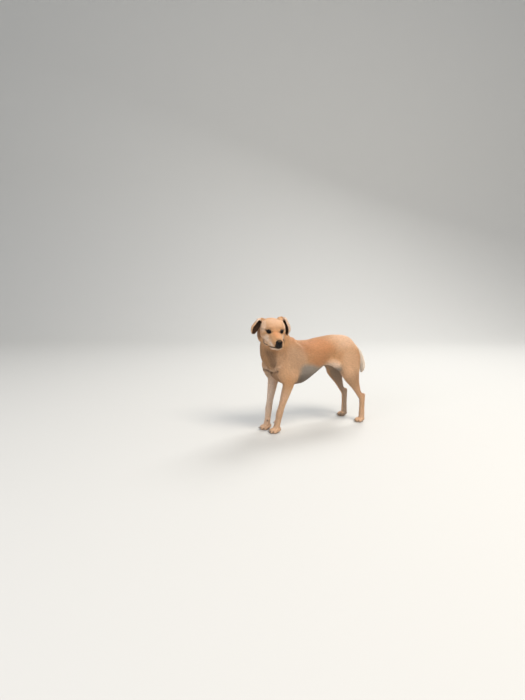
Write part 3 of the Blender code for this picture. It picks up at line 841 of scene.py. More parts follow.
places = points_of(flesh.data)
places -= normals_of(flesh.data) * coat_depth(places)[:, None] * MM
put_points(flesh.data, places)
thinned(flesh, SKIN_FACES)
print("skin faces:", len(flesh.data.polygons))


# %%
# Finer faces where the face needs them
SHORT = 0.0022  # metres: the ends of edges shorter than this are evened out


def split_near(obj, chosen):
    """Splits the edges whose ends are both chosen, once, and evens out the new faces."""
    bm = bmesh.new()
    bm.from_mesh(obj.data)
    bm.verts.ensure_lookup_table()
    picked = chosen(points_of(obj.data))
    edges = [e for e in bm.edges if picked[e.verts[0].index] and picked[e.verts[1].index]]
    bmesh.ops.subdivide_edges(bm, edges=edges, cuts=1, use_grid_fill=True)
    bmesh.ops.triangulate(bm, faces=[f for f in bm.faces if len(f.verts) > 3])
    fine = {v for e in bm.edges if e.calc_length() < SHORT for v in e.verts}
    fine = [v for v in fine if not v.is_boundary]
    every_way = {"use_axis_x": True, "use_axis_y": True, "use_axis_z": True}
    for _ in range(2):
        bmesh.ops.smooth_vert(bm, verts=fine, factor=0.5, **every_way)
    bm.to_mesh(obj.data)
    bm.free()


def near_features(points, reach):
    """Whether each point lies near an eye, the nose or the line of the mouth."""
    head = folded(head_mm(points), 0)
    aside, forward, up = head.T
    eye = np.linalg.norm(head - (EYE_SIDE + 2, EYE_FORWARD + 6, EYE_UP), axis=1)
    nose = (forward > 186) & (up > -48) & (aside < 24)
    lips = np.abs(up - mouth_height(forward)) < reach * 0.35
    return (eye < reach) | nose | (lips & (forward > 90) & (aside < 60))


# The line between the lips: forward, up
MOUTH = [
    (78, -50),
    (88, -56),
    (100, -60),
    (120, -61.5),
    (143, -60),
    (160, -55.5),
    (178, -49),
    (194, -43.5),
    (206, -41),
]


def mouth_height(forward):
    line = np.array(MOUTH)
    return np.interp(forward, line[:, 0], line[:, 1])


split_near(flesh, lambda points: head_share(head_mm(points)) > 0.5)
split_near(flesh, lambda points: near_features(points, 26))
split_near(flesh, lambda points: near_features(points, 19))
print("skin faces with the fine ones:", len(flesh.data.polygons))

# %% [markdown]
# ## Sculpting by numbers
# A sculptor pushes and pulls clay. The same can be done with bells, lines and steps: each one says
# where it works, how far it reaches and how high it is, in millimetres. Ridges and hollows on the
# body come first, then the face, the mouth, the nose and last the lids, which need the most care.

# %%
# Hollows and ridges of the body: a line in the dog's frame, its width and its height
SPINE = ([(90, 0, 492), (0, 0, 486), (-100, 0, 497), (-230, 0, 510)], 9, -0.7)
BREAST_RIDGE = [(-66, 349), (-53, 347), (-20, 348), (2, 345), (32, 349), (60, 357), (84, 368), (96, 382)]
BREAST_HOLLOW = [(-78, 337), (-53, 333), (-20, 334), (2, 330), (30, 334), (60, 342), (84, 353)]
BREAST_GROOVE = [(0, 332), (-8, 312), (-12, 288), (-4, 262)]
BREAST_EDGE = [(64, 334), (46, 314), (42, 294), (58, 276)]
SHOULDER_EDGE = [(104, 40, 486), (82, 64, 458), (78, 90, 415), (84, 98, 372), (92, 104, 330)]
# The same on the front of chest and neck, with lines as (left, up)
FRONT_LINES = [
    (BREAST_RIDGE, 8, 4.0),
    (BREAST_HOLLOW, 5.5, -6.0),
    (BREAST_GROOVE, 8, -7.0),
    (BREAST_EDGE, 6, -4.0),  # of the left breast muscle
    ([(14, 510), (20, 460), (22, 390)], 9, -3.0),  # groove of the windpipe
    ([(-30, 530), (-32, 460), (-26, 390)], 11, 2.8),  # the muscles beside it
    ([(48, 500), (56, 450), (54, 390)], 10, 2.8),
]
# On both sides of the body
SIDE_LINES = [
    (SHOULDER_EDGE, 8, 3.0),  # the shoulder's back edge
    ([(84, 46, 484), (62, 68, 456), (56, 94, 412), (58, 102, 368)], 11, -2.8),  # hollow behind it
    ([(160, 74, 452), (180, 92, 400), (196, 98, 356)], 10, -1.6),  # between neck and shoulder
    ([(196, 66, 500), (184, 82, 440), (192, 96, 380)], 7, 1.8),  # folds of the neck's loose skin
    ([(222, 56, 486), (214, 74, 426), (214, 92, 374)], 7, 1.8),
    ([(150, 70, 484), (138, 88, 432), (148, 100, 372)], 8, 1.6),
    ([(-74, 92, 376), (-108, 90, 394), (-130, 92, 420)], 12, -2.6),  # hollow of the flank
    ([(-190, 88, 440), (-226, 100, 360), (-246, 98, 296)], 11, -2.2),  # between the thigh muscles
    ([(-282, 60, 420), (-300, 62, 350), (-296, 74, 290)], 9, -1.6),  # back of the thigh
    ([(-296, 86, 222), (-308, 82, 196), (-322, 78, 172)], 6, -2.4),  # in front of the hamstring tendon
]
RIB_STARTS = (10, -14, -38, -62, -86)
RIB_WIDTH, RIB_HEIGHT = 6, 0.8
RIBS = [
    ([(f, 96, 430), (f - 14, 104, 370), (f - 4, 92, 310)], RIB_WIDTH, RIB_HEIGHT)
    for f in RIB_STARTS
]


# %%
# Work on the body
def front_share(dog, forwards):
    """1 on the front of chest and neck, for places and how far their surface faces forwards."""
    return soft_step(dog[:, 0], 140, 180) * soft_step(forwards, 0.05, 0.45)


def shape_body(points, normals):
    dog = dog_mm(points)
    mirrored = dog * (1, -1, 1)
    rise = np.zeros(len(points))
    ahead = front_share(dog, -normals[:, 1])
    works = [(dog, SPINE, 1)]
    works += [(view, ridge, 1) for ridge in SIDE_LINES for view in (dog, mirrored)]
    works += [(dog[:, 1:], ridge, ahead) for ridge in FRONT_LINES]
    works += [(view, rib, 1) for rib in RIBS for view in (dog, mirrored)]
    for view, (line, width, height), share in works:
        rise += height * share * bell(off_line(view, line), width)
    return points + normals * (rise * (1 - head_share(head_mm(points))) * MM)[:, None]


# %%
# Hollows and mounds of the face: centre and reach in the head's frame, and height.
# Those off the middle are mirrored.
FACE_MOUNDS = [
    ((0, 96, 28), (5, 16, 16), -2.6),  # furrow between the brows
    ((0, 60, 52), (6, 34, 12), -1.6),  # furrow of the forehead
    ((21, 99, 27), (13, 8, 8), 2.6),  # brow
    ((34, 94, 26), (10, 9, 7), 1.2),
    ((17, 112, 2), (6, 9, 8), -3.0),  # inner corner's hollow
    ((36, 112, -10), (12, 12, 7), -1.8),  # under the eye
    ((52, 84, -8), (9, 24, 8), 2.6),  # cheekbone
    ((56, 48, -24), (14, 26, 20), 2.4),  # cheek muscle
    ((54, 74, 22), (14, 18, 12), -3.0),  # temple
    ((27, 136, -14), (9, 24, 8), -2.4),  # hollow beside the bridge
    ((31, 118, -46), (10, 20, 9), 2.2),  # flew
    ((24, 166, -38), (9, 15, 11), 2.0),  # whisker pad
    ((0, 178, 2), (13, 16, 8), -0.8),  # dip behind the nose
    ((0, 12, 50), (7, 14, 10), 2.0),  # crest at the back of the skull
    ((40, 112, -62), (14, 20, 9), -1.6),  # under the mouth's corner
]


def shape_face(points, normals):
    head = head_mm(points)
    half = folded(head, 0)
    rise = sum(height * mound(half, centre, reach) for centre, reach, height in FACE_MOUNDS)
    return points + normals * (rise * head_share(head) * (1 - ear_share(head)) * MM)[:, None]


def shape_mouth(points, normals):
    """A closed mouth: the upper lip hangs over the lower one, with a deep line between them."""
    head = head_mm(points)
    above = head[:, 2] - mouth_height(head[:, 1])
    along = soft_step(head[:, 1], 82, 96) * (np.abs(head[:, 0]) < 62) * head_share(head)
    rise = -3.6 * bell(above, 1.35)  # the line itself
    rise += 1.5 * bell(above - 4.0, 3.0)  # the upper lip's edge
    rise -= 1.7 * bell(above + 4.5, 4.5)  # the lower lip, set back
    return points + normals * (rise * along * MM)[:, None]


# %%
# The nose: nostrils like commas, wings round them and a groove below
# On half of the nose, as (aside, up)
NOSTRIL, NOSTRIL_SIZE = (7.2, -15.0), (3.0, 3.6)
SLIT = [(8.5, -18.5), (13, -21), (17.5, -18.5)]  # the comma's tail
WING, WING_SIZE = (10.5, -11.5), 4.5


def shape_nose(points, normals):
    head = folded(head_mm(points), 0)
    aside, forward, up = head.T
    front = soft_step(forward, 190, 198)
    rise = 0.7 * nose_leather(head)
    pit = np.hypot((aside - NOSTRIL[0]) / NOSTRIL_SIZE[0], (up - NOSTRIL[1]) / NOSTRIL_SIZE[1])
    rise -= 5.0 * front * np.exp(-(pit**2.6))
    rise -= 2.6 * soft_step(forward, 182, 190) * bell(off_line(head[:, [0, 2]], SLIT), 1.3)
    wing = np.hypot((aside - WING[0]) / WING_SIZE, (up - WING[1]) / WING_SIZE)
    rise += 1.1 * front * bell(wing, 1)
    below = soft_step(-up, 16, 20) * (1 - soft_step(-up, 40, 43))
    rise -= 1.7 * soft_step(forward, 180, 190) * below * bell(aside, 1.1)
    return points + normals * (rise * MM)[:, None]


# %% [markdown]
# ## Eyes and lids
# The eye is a ball, and the lids are skin that wraps it and opens in an almond. The skin's points
# near the ball are lifted onto a slightly larger ball, which makes the lids. Those inside the
# almond go behind the eye. The wall between the two is the lid's edge.

# %%
# An eye's size, opening and gaze
EYEBALL = 12.2
LID_BALL = 13.5
ALMOND_LENGTH, ALMOND_TOP, ALMOND_UNDER = 10.8, 6.6, 5.4
EYE_LOOKS = {"left": Vector((0.40, 0.90, 0.06)), "right": Vector((-0.40, 0.90, 0.06))}


def eye_axes(side):
    """Towards the outer corner, up and out along the gaze, in the head's frame."""
    gaze = EYE_LOOKS[side].normalized()
    outer = Vector((0.90 * SIDES[side], -0.40, 0.14))
    outer = (outer - gaze * outer.dot(gaze)).normalized()
    up = gaze.cross(outer) * (-SIDES[side])
    return np.array([outer, up.normalized() * (1 if up.z > 0 else -1), gaze])


def in_eye(head, side):
    """Points of the head's frame in an eye's own axes, in mm from the ball's middle."""
    centre = np.array((EYE_SIDE * SIDES[side], EYE_FORWARD, EYE_UP))
    return (head - centre) @ eye_axes(side).T


def outside_almond(eye):
    """Roughly how far a point lies outside the opening between the lids, in mm."""
    x, y = eye[:, 0], eye[:, 1]
    share = np.clip(1 - (x / ALMOND_LENGTH) ** 2, 0, 1)
    top = ALMOND_TOP * share**0.75
    under = -ALMOND_UNDER * share**0.9
    past = np.maximum(np.abs(x) - ALMOND_LENGTH, 0)
    outside = np.hypot(np.maximum(np.maximum(y - top, under - y), 0), past)
    inside = np.minimum(np.maximum(np.minimum(top - y, y - under), 0), 9)
    return outside - inside


# %%
# Lifting the lids
def shape_lids(points):
    head = head_mm(points)
    moved = head.copy()
    for side in SIDES:
        eye = in_eye(head, side)
        flat = np.hypot(eye[:, 0], eye[:, 1])
        near = (flat < 21) & (eye[:, 2] > -4)
        _, y, z = eye[near].T
        away = outside_almond(eye[near])
        lid = np.sqrt(np.maximum(LID_BALL**2 - flat[near] ** 2, 0)) - 40 * (flat[near] > LID_BALL - 0.2)
        lid += 0.6 * bell(away - 1.2, 1.3)  # the thick edge of the lid
        lifted = (z + lid + np.sqrt((z - lid) ** 2 + 1.5**2)) / 2
        lifted -= 1.3 * bell(away - 6.5, 1.5) * soft_step(y, 2, 6)  # crease above the lid
        lifted -= 0.9 * bell(away - 5.0, 1.6) * soft_step(-y, 1, 4)  # and below it
        behind = np.sqrt(np.maximum(EYEBALL**2 - flat[near] ** 2, 4)) - 2.6
        opened = 1 - soft_step(away, -0.7, 0.35)
        fade = 1 - soft_step(flat[near], 17, 21)
        new_z = z + (lifted - z) * fade
        new_z += (behind - new_z) * opened
        moved[near] += (new_z - z)[:, None] * eye_axes(side)[2]
    forth = np.array(HEAD)
    return moved @ forth[:3, :3].T + forth[:3, 3]


# %%
# All the shaping, one step after another
def reshape(mesh, shaping, needs_normals=True):
    points = points_of(mesh)
    put_points(mesh, shaping(points, normals_of(mesh)) if needs_normals else shaping(points))


for shaping in (shape_body, shape_face, shape_mouth, shape_nose):
    reshape(flesh.data, shaping)
reshape(flesh.data, shape_lids, needs_normals=False)
flesh.name = "skin"
flesh.data.name = "skin"
flesh.data.shade_smooth()
print("skin shaped:", len(flesh.data.vertices), "points")

# %% [markdown]
# ## Markings
# The colours of a coat could be painted on it. Here they follow rules a person could say aloud: a
# grey belly that is partly painted shade, a dark band of painted shade below the chin, black lips.
# Painted shade in creases and hollows and painted highlights on ridges are markings too. Each
# marking is a number from 0 to 1 on every point of the skin. The coat reads the same numbers at its
# roots, so skin and coat always agree.


# %%
# Eggs and lines of colour
def patch(points, centre, radii, soft=0.35):
    """1 inside an egg and 0 outside it, fading across its edge."""
    away = np.linalg.norm((points - np.array(centre)) / np.array(radii), axis=1)
    return 1 - soft_step(away, 1 - soft, 1 + soft)


def line_of(points, line, width, soft=0.5):
    """1 along a line and 0 away from it."""
    return 1 - soft_step(off_line(points, line), width * (1 - soft), width * (1 + soft))


def strongest(points, marks):
    """The strongest of some marks at each point. A mark is its strength, an egg's centre and radii
    or a line's places and width, and how softly it fades where that isn't the usual."""
    best = np.zeros(len(points))
    for strength, place, reach, *soft in marks:
        shape = line_of if isinstance(place, list) else patch
        best = np.maximum(best, strength * shape(points, place, reach, *soft))
    return best


# %%
# Broad colours of the body: first on both sides of it
PALE_SIDES = [
    (0.74, (-116, 84, 356), (56, 34, 27)),  # fold of the flank
    (0.55, [(-132, 80, 344), (-158, 84, 316), (-190, 84, 276)], 12),
    (0.42, (-232, 96, 350), (62, 60, 110)),  # thigh
    (0.42, (130, 92, 390), (64, 60, 96)),  # shoulder
    (0.70, (-225, 40, 480), (96, 70, 60), 0.5),  # croup
    (0.30, (200, 60, 370), (60, 60, 80)),
    # painted highlight along the shoulder's back edge, where the ridge catches the light
    (0.45, SHOULDER_EDGE, 8),
]
CREAM_SIDES = [
    (0.75, (-296, 30, 350), (22, 40, 90)),  # back of the thighs
    (0.36, (-112, 80, 350), (44, 30, 16)),
]
RUSSET_SIDES = [
    (0.66, (-20, 74, 462), (110, 70, 56), 0.5),  # back
    (0.55, (-30, 100, 390), (70, 40, 52), 0.5),  # ribs
    (0.40, (-300, 78, 215), (50, 40, 62)),  # hock
]
DARK_SIDES = [
    (0.24, (-262, 96, 262), (50, 44, 48), 0.6),  # lower thigh
    (0.16, (-30, 100, 400), (90, 40, 56), 0.5),
    # painted shade in the crease behind the elbow
    (0.26, (106, 96, 280), (48, 34, 32), 0.6),  # behind the elbow
]
# On one side or in the middle, all of it painted shade
PAINTED_SHADE_SPOTS = [
    (0.56, [(275, 36, 490), (262, 40, 455), (245, 46, 420), (234, 44, 384)], 26, 0.7),  # below the chin
    (0.27, (220, 16, 430), (80, 92, 120)),  # throat
    (0.22, (116, 84, 440), (96, 50, 84), 0.6),  # left shoulder blade
    (0.30, [(262, -30, 520), (262, -44, 470)], 14, 0.8),
    (0.36, (215, -4, 300), (50, 66, 44), 0.5),  # between the forelegs
]
# On the front of the chest, with lines as (left, up): a painted highlight and painted shade
BREAST_HIGHLIGHT = [(0.72, BREAST_RIDGE, 6)]
BREAST_SHADE = [(0.85, BREAST_HOLLOW, 5), (0.72, BREAST_GROOVE, 10, 0.8), (0.50, BREAST_EDGE, 5)]
# painted light: a paler patch on the right foreleg
RIGHT_FORELEG_LIGHT = (200, -66, 200), (46, 40, 130), 0.8
WITHERS = (120, 0, 500), (60, 50, 40)
FLANK_FOLD = (-112, 80, 352), (50, 30, 16)
# Where the grey of the belly ends: forward, up
BELLY_EDGE = np.array([
    (-140, 352),
    (-49, 354),
    (-29, 352),
    (-3, 360),
    (36, 374),
    (74, 380),
    (100, 374),
    (116, 340),
])


# %%
# The body's markings
def body_marks(dog, facing):
    """How pale, cream, russet, dark and grey the trunk, tail and legs are."""
    side = folded(dog, 1)
    forward, up = dog[:, 0], dog[:, 2]
    inwards = soft_step(-facing[:, 1] * np.sign(dog[:, 1]), 0.2, 0.8) * (up < 330)
    legs = 1 - soft_step(up, 215, 300)
    ahead = front_share(dog, facing[:, 0])
    pale = np.maximum(0.5 * inwards, strongest(side, PALE_SIDES))
    # painted highlight on the breast's ridge
    pale = np.maximum(pale, strongest(dog[:, 1:], BREAST_HIGHLIGHT) * ahead)
    # the forelegs are paler, and the right one more so as painted light
    pale = np.maximum(pale, (0.62 + 0.24 * (dog[:, 1] < 0)) * legs * (forward > 0))
    pale = np.maximum(pale, 0.42 * legs + 0.25 * (1 - soft_step(up, 30, 110)))
    tail = soft_step(-forward, 300, 318) * soft_step(up, 240, 262) * (side[:, 1] < 50)
    cream = 0.97 * tail * soft_step(-forward, 300, 318)
    cream = np.maximum(cream, strongest(side, CREAM_SIDES))
    # painted light on the right foreleg
    cream = np.maximum(cream, 0.42 * patch(dog, *RIGHT_FORELEG_LIGHT))
    # The grey belly: partly its own greyish-white underside and partly painted shade
    edge = np.interp(forward, *BELLY_EDGE.T)
    grey = soft_step(edge - up, -14, 22) * (1 - soft_step(forward, 80, 118))
    grey *= soft_step(forward, -190, -150) * (1 - 0.8 * patch(side, *FLANK_FOLD))
    grey = np.maximum(grey, 0.55 * inwards * (forward < -120))
    russet = np.maximum(strongest(side, RUSSET_SIDES), 0.30 * patch(dog, *WITHERS))
    dark = np.maximum(strongest(side, DARK_SIDES), strongest(dog, PAINTED_SHADE_SPOTS))
    # painted shade in the breast's hollow, groove and edge
    dark = np.maximum(dark, strongest(dog[:, 1:], BREAST_SHADE) * ahead)
    # painted shade: the grey belly darkens towards its lower edge
    dark = np.maximum(dark, grey * (0.16 + 0.36 * soft_step(330 - up, -16, 50)))
    grey = grey * (1 - 0.8 * legs * (1 - inwards))
    return pale, cream, russet, dark, grey


# %%
# Colours of the head, on both its sides
PALE_FACE = [
    (0.50, (0, 66, 42), (46, 48, 26), 0.5),  # forehead
    (0.20, (24, 100, 30), (20, 16, 9)),  # brow
    (0.85, (38, 108, -16), (16, 20, 9)),  # under the eye
    (0.65, (46, 92, -40), (20, 36, 24)),  # cheek
    (0.86, (29, 140, -35), (16, 38, 18), 0.6),  # side of the muzzle
]
CREAM_FACE = [(0.55, (22, 164, -34), (14, 26, 10)), (0.35, (40, 106, -30), (14, 22, 12))]
RUSSET_FACE = [
    (0.25, (0, 80, 40), (24, 40, 20), 0.5),  # forehead
    (0.62, (4, 134, 4), (14, 40, 12), 0.5),  # bridge
    (0.5, (58, 34, -20), (22, 40, 36)),  # cheek
]
DARK_FACE = [
    (0.3, [(46, 92, -20), (36, 112, -22), (28, 130, -24)], 3.2),  # line under the eye
    # painted shade along the cheek's lower edge
    (0.4, [(62, 60, -30), (56, 84, -46), (50, 98, -60)], 4),  # edge of the cheek
    (0.55, (60, 20, -34), (14, 24, 34)),  # shade behind the jaw
    # painted shade under the ear's root
    (0.45, (56, 40, 8), (12, 16, 16)),
    # painted shade in the mouth's corner
    (0.60, (48, 82, -58), (16, 22, 14), 0.6),  # the mouth's corner
    # painted shade in the hollow at the inner corner of the eye
    (0.85, (17, 110, 4), (9, 10, 9)),  # inner corner of the eye
    (0.65, (45, 94, 11), (8, 8, 5)),  # outer corner
    (0.30, [(46, 92, 12), (58, 80, 10), (66, 66, 4)], 4, 0.7),
    (0.35, (0, 188, -2), (18, 8, 7)),  # behind the nose
]
BLACK_FACE = [(0.98, (0, 199, -35), (20, 17, 15), 0.2), (0.95, (0, 200, -28), (20, 14, 12), 0.2)]
TEMPLE = (54, 64, 24), (15, 32, 42), 0.4
# painted highlight on the nose's top
NOSE_HIGHLIGHT = (0, 199, -2), (9, 9, 6), 0.7
# cream on the ears' front edges, partly painted light
EAR_CREAM_AND_LIGHT = {"left": 0.45, "right": 0.14}


# %%
# The head's markings
def head_marks(head):
    """How pale, cream, russet and dark the head is, and where it is black skin."""
    half = folded(head, 0)
    aside, forward, up = half.T
    above = up - mouth_height(forward)
    temple = patch(half, *TEMPLE) * (1 - ear_share(head))
    pale = np.maximum(0.95 * temple, strongest(half, PALE_FACE))
    jaw = soft_step(up, -96, -86) * (aside < 52)
    cream = 0.40 * soft_step(-above, 1.0, 4.0) * soft_step(forward, 96, 120) * jaw
    cream = np.maximum(cream, strongest(half, CREAM_FACE))
    russet, dark = strongest(half, RUSSET_FACE), strongest(half, DARK_FACE)
    lips = np.exp(-(((above - 1.3) / 4.1) ** 4)) * soft_step(forward, 74, 86)
    black = np.maximum(nose_leather(head), 0.95 * lips * (aside < 62))
    black = np.maximum(black, strongest(half, BLACK_FACE))
    # painted highlight: the nose's top is a little paler, like a reflection on damp leather
    black *= 1 - 0.20 * patch(half, *NOSE_HIGHLIGHT)  # the nose's top is a little paler
    for side in SIDES:
        eye = in_eye(head, side)
        past_lids, in_front = outside_almond(eye), eye[:, 2] > 0
        black = np.maximum(black, (1 - soft_step(past_lids, 3.2, 5.6)) * in_front)
        # dark skin round the lids, widened by painted shade in the eye's hollow
        dark = np.maximum(dark, 0.8 * (1 - soft_step(past_lids, 3.6, 8.0)) * in_front)
    return pale, cream, russet, dark, black


# %%
# The ears' markings
def ear_marks(head):
    """How cream, dark and black the ears are: dark in the hollow, partly painted shade, and
    cream on fold and front edge, partly painted light.
    """
    cream, dark = np.zeros(len(head)), np.zeros(len(head))
    table = np.array([row for row in smooth_rows(EAR, 3) if row[0] > EAR_FOLD])
    up = head[:, 2]
    for side, sign in SIDES.items():
        lift = EAR_LIFT[side] * np.maximum(table[:, 2], 0) / 45
        level = (table[:, 2] + lift)[::-1]
        columns = (*table[:, [0, 1, 3, 4]].T, lift)
        spread, ahead, wide, deep, lifted = (np.interp(up, level, c[::-1]) for c in columns)
        middle = EAR_FOLD + (spread - EAR_FOLD) * EAR_FLARE[side] - lifted
        out = head[:, 0] * sign
        across, along = (out - middle) / wide, (head[:, 1] - ahead) / deep
        hollow = (1 - soft_step(np.hypot(across, along), 0.96, 1.03)) * (1 - soft_step(up, 34, 40))
        # the front edge and the fold's top are partly lighter as painted light
        strip = soft_step(np.degrees(np.arctan2(along, across)), -20, 15) * (1 - hollow)
        fold = soft_step(up, 28, 40) * (1 - hollow)
        # the hollow's dark and black are partly painted shade
        dark = np.maximum(dark, hollow * (out > 0))
        cream = np.maximum(cream, np.maximum(EAR_CREAM_AND_LIGHT[side] * strip, 0.45 * fold) * (out > 0))
    share = ear_share(head)
    return cream * share, dark * share, 0.20 * dark * share


# %%
# Store the markings on the skin
PAD_HEIGHTS = 0.0030, 0.0055  # the black pads under the paws end between these, in metres


def marks_at(points, facing):
    """The six markings at any points of the skin."""
    dog, head = dog_mm(points), head_mm(points)
    facing = np.stack([-facing[:, 1], facing[:, 0], facing[:, 2]], 1)
    on_head, on_ear = head_share(head), ear_share(head)
    *broad, grey = body_marks(dog, facing)
    *face, black = head_marks(head)
    cream_ear, dark_ear, black_ear = ear_marks(head)
    marks = {}
    for name, body, on in zip(("pale", "cream", "russet", "dark"), broad, face):
        marks[name] = body + (on - body) * on_head
        marks[name] *= 1 - on_ear
    marks["grey"] = grey * (1 - on_head)
    marks["cream"] += cream_ear
    marks["dark"] += dark_ear
    pads = (1 - soft_step(points[:, 2], *PAD_HEIGHTS)) * soft_step(-facing[:, 2], 0.3, 0.7)
    marks["black"] = np.maximum(black * on_head * (1 - on_ear), 0.9 * pads) + black_ear
    return {name: np.clip(mark, 0, 1) for name, mark in marks.items()}


def keep_numbers(mesh, name, numbers, kind="FLOAT", domain="POINT"):
    """Stores an array as a named attribute of a mesh."""
    attribute = mesh.attributes.new(name, kind, domain)
    field = "vector" if kind == "FLOAT_VECTOR" else "value"
    plain = np.ascontiguousarray(numbers, np.int32 if kind == "INT" else np.float32)
    attribute.data.foreach_set(field, plain.ravel())


places, facing = points_of(flesh.data), normals_of(flesh.data)
marks = marks_at(places, facing)
for name, mark in marks.items():
    keep_numbers(flesh.data, "mark_" + name, mark)
print("markings and their means:", {name: round(float(mark.mean()), 2) for name, mark in marks.items()})

# %% [markdown]
# ## One colour recipe for skin and coat
# A node group turns the markings into a colour. The skin's material and the coat's material both
# use it. Slow noise varies the tone over the body, and each tuft also has its own small tint.

# %%
# The colour recipe
# Besides the coat's own colours, dark and grey also paint shade, and pale and cream also paint highlights
# and light
COLOURS = {
    "base": "CB9A6C",
    "pale": "E6C2A0",
    "cream": "F3E6D6",
    "russet": "CC8A58",
    "grey": "A89C8E",
    "dark": "47301F",
    "black": "110D0D",
}
MARK_ORDER = ("russet", "pale", "cream", "grey", "dark", "black")  # each is laid over the last


def coat_recipe():
    group = bpy.data.node_groups.new("coat_recipe", "ShaderNodeTree")
    group.interface.new_socket("Tint", in_out="INPUT", socket_type="NodeSocketFloat")
    group.interface.new_socket("Color", in_out="OUTPUT", socket_type="NodeSocketColor")
    group.interface.new_socket("Black", in_out="OUTPUT", socket_type="NodeSocketFloat")
    tint = add_node(group, "NodeGroupInput").outputs["Tint"]
    place = add_node(group, "ShaderNodeTexCoord").outputs["Object"]
    slow = add_node(group, "ShaderNodeTexNoise", Vector=place, Scale=16.0, Detail=3.0).outputs["Fac"]
    quick = add_node(group, "ShaderNodeTexNoise", Vector=place, Scale=120.0, Detail=2.0).outputs["Fac"]
    wobble = add_node(group, "ShaderNodeMath", TIMES_PLUS, slow, 0.5, -0.25).outputs[0]
    colour = hex_colour(COLOURS["base"])
    for name in MARK_ORDER:
        mark = add_node(group, "ShaderNodeAttribute", {"attribute_name": "mark_" + name})
        share = mark.outputs["Fac"]
        if name not in ("dark", "black"):
            share = add_node(group, "ShaderNodeMath", TIMES_PLUS, wobble, share, share).outputs[0]
        mix = add_node(group, "ShaderNodeMix", COLOUR_MIX, share, i6=colour, i7=hex_colour(COLOURS[name]))
        colour = mix.outputs[2]
    tone = add_node(group, "ShaderNodeMath", TIMES_PLUS, quick, 0.30, 0.85).outputs[0]
    tinted = add_node(group, "ShaderNodeMath", TIMES, tone, tint).outputs[0]
    value = add_node(group, "ShaderNodeHueSaturation", Value=tinted, Color=colour).outputs["Color"]
    add_node(group, "NodeGroupOutput", Color=value, Black=mark.outputs["Fac"])
    return group


RECIPE = coat_recipe()
print("recipe nodes:", len(RECIPE.nodes))

# %% [markdown]
# ## How the coat lies
# Short fur lies back from the nose, down the chest and legs and along the trunk to the tail. It
# could be combed by hand. Here a direction and four numbers are kept on every point: how long the
# hair is, how wide a tuft is, how much it stands up and how densely tufts stand.


# %%
# Direction of the lie
def blend(base, share, towards_this):
    return base + (np.array(towards_this) - base) * share[:, None]


HAUNCH = (-235, 80, 360), (80, 90, 130), 0.5
BETWEEN_LEGS = (170, 0, 250), (60, 60, 60), 0.5


def body_lie(dog):
    """The lie on trunk, legs and tail, as (forward, left, up)."""
    side = folded(dog, 1)
    forward, up = dog[:, 0], dog[:, 2]
    lie = np.tile(np.array((-1.0, 0, -0.32)), (len(dog), 1))
    lie = blend(lie, soft_step(forward, 60, 190), (-0.62, 0, -0.78))  # shoulder
    lie = blend(lie, soft_step(forward, 190, 245), (-0.12, 0, -1.0))  # chest
    lie = blend(lie, patch(side, *HAUNCH), (-0.55, 0, -0.84))
    lie = blend(lie, 1 - soft_step(up, 200, 300), (-0.16, 0, -1.0))  # legs
    lie = blend(lie, 1 - soft_step(up, 22, 52), (0.80, 0, -0.6))  # toes
    lie = blend(lie, soft_step(-forward, 285, 310) * soft_step(up, 285, 320), (-0.3, 0, -0.95))  # tail
    lie[:, 1] += np.sign(dog[:, 1]) * 0.35 * patch(side, *BETWEEN_LEGS)
    wave = 0.20 * np.sin(forward / 23.0 + up / 31.0)
    wave += 0.12 * np.sin(up / 11.0 - forward / 17.0)
    lie[:, 2] += wave
    return lie


def face_lie(head):
    """The lie on the head, in the head's own frame: back from the nose, and down the ears."""
    aside = np.sign(head[:, 0])
    lie = np.tile(np.array((0.0, -1.0, 0.12)), (len(head), 1))
    lie[:, 0] = 0.30 * aside * soft_step(np.abs(head[:, 0]), 2, 22)
    lie[:, 2] -= 0.55 * soft_step(-head[:, 2], -6, 40) * (1 - soft_step(head[:, 1], 130, 185))
    lie[:, 2] -= 0.8 * soft_step(head[:, 1], 184, 200)  # down round the nose
    ears = np.stack([0.35 * aside, np.full(len(head), 0.10), np.full(len(head), -1.0)], 1)
    return lie + (ears - lie) * ear_share(head)[:, None]


# %%
# The lie on the whole skin
def lie_at(points, facing):
    """The way the hair points at each place, along the skin."""
    head = head_mm(points)
    lie = body_lie(dog_mm(points))
    body = np.stack([lie[:, 1], -lie[:, 0], lie[:, 2]], 1)
    turn = np.array(HEAD)[:3, :3]
    turn = turn / np.linalg.norm(turn, axis=0)
    whole = body + (face_lie(head) @ turn.T - body) * head_share(head)[:, None]
    whole -= facing * (whole * facing).sum(1)[:, None]
    return whole / np.maximum(np.linalg.norm(whole, axis=1), 1e-6)[:, None]


# %%
# Sizes of the hair. Lengths are in mm
TRUNK_HAIR, LEG_HAIR, FOOT_HAIR, TAIL_HAIR, EAR_HAIR = 11.5, 8.0, 4.6, 19.0, 4.2
CHEEK_HAIR, MUZZLE_HAIR = 6.5, 3.1
NECK_HAIR = (180, 40, 450), (90, 90, 110)
THIGH_HAIR = (-290, 60, 350), (40, 60, 90)
THIGH_RISE = (-290, 60, 330), (40, 60, 110)
# Tufts in a square metre: on the trunk, how many more on legs and feet, and on the head
TUFTS, LEG_TUFTS, FOOT_TUFTS, HEAD_TUFTS = 165e3, 125e3, 70e3, 430e3


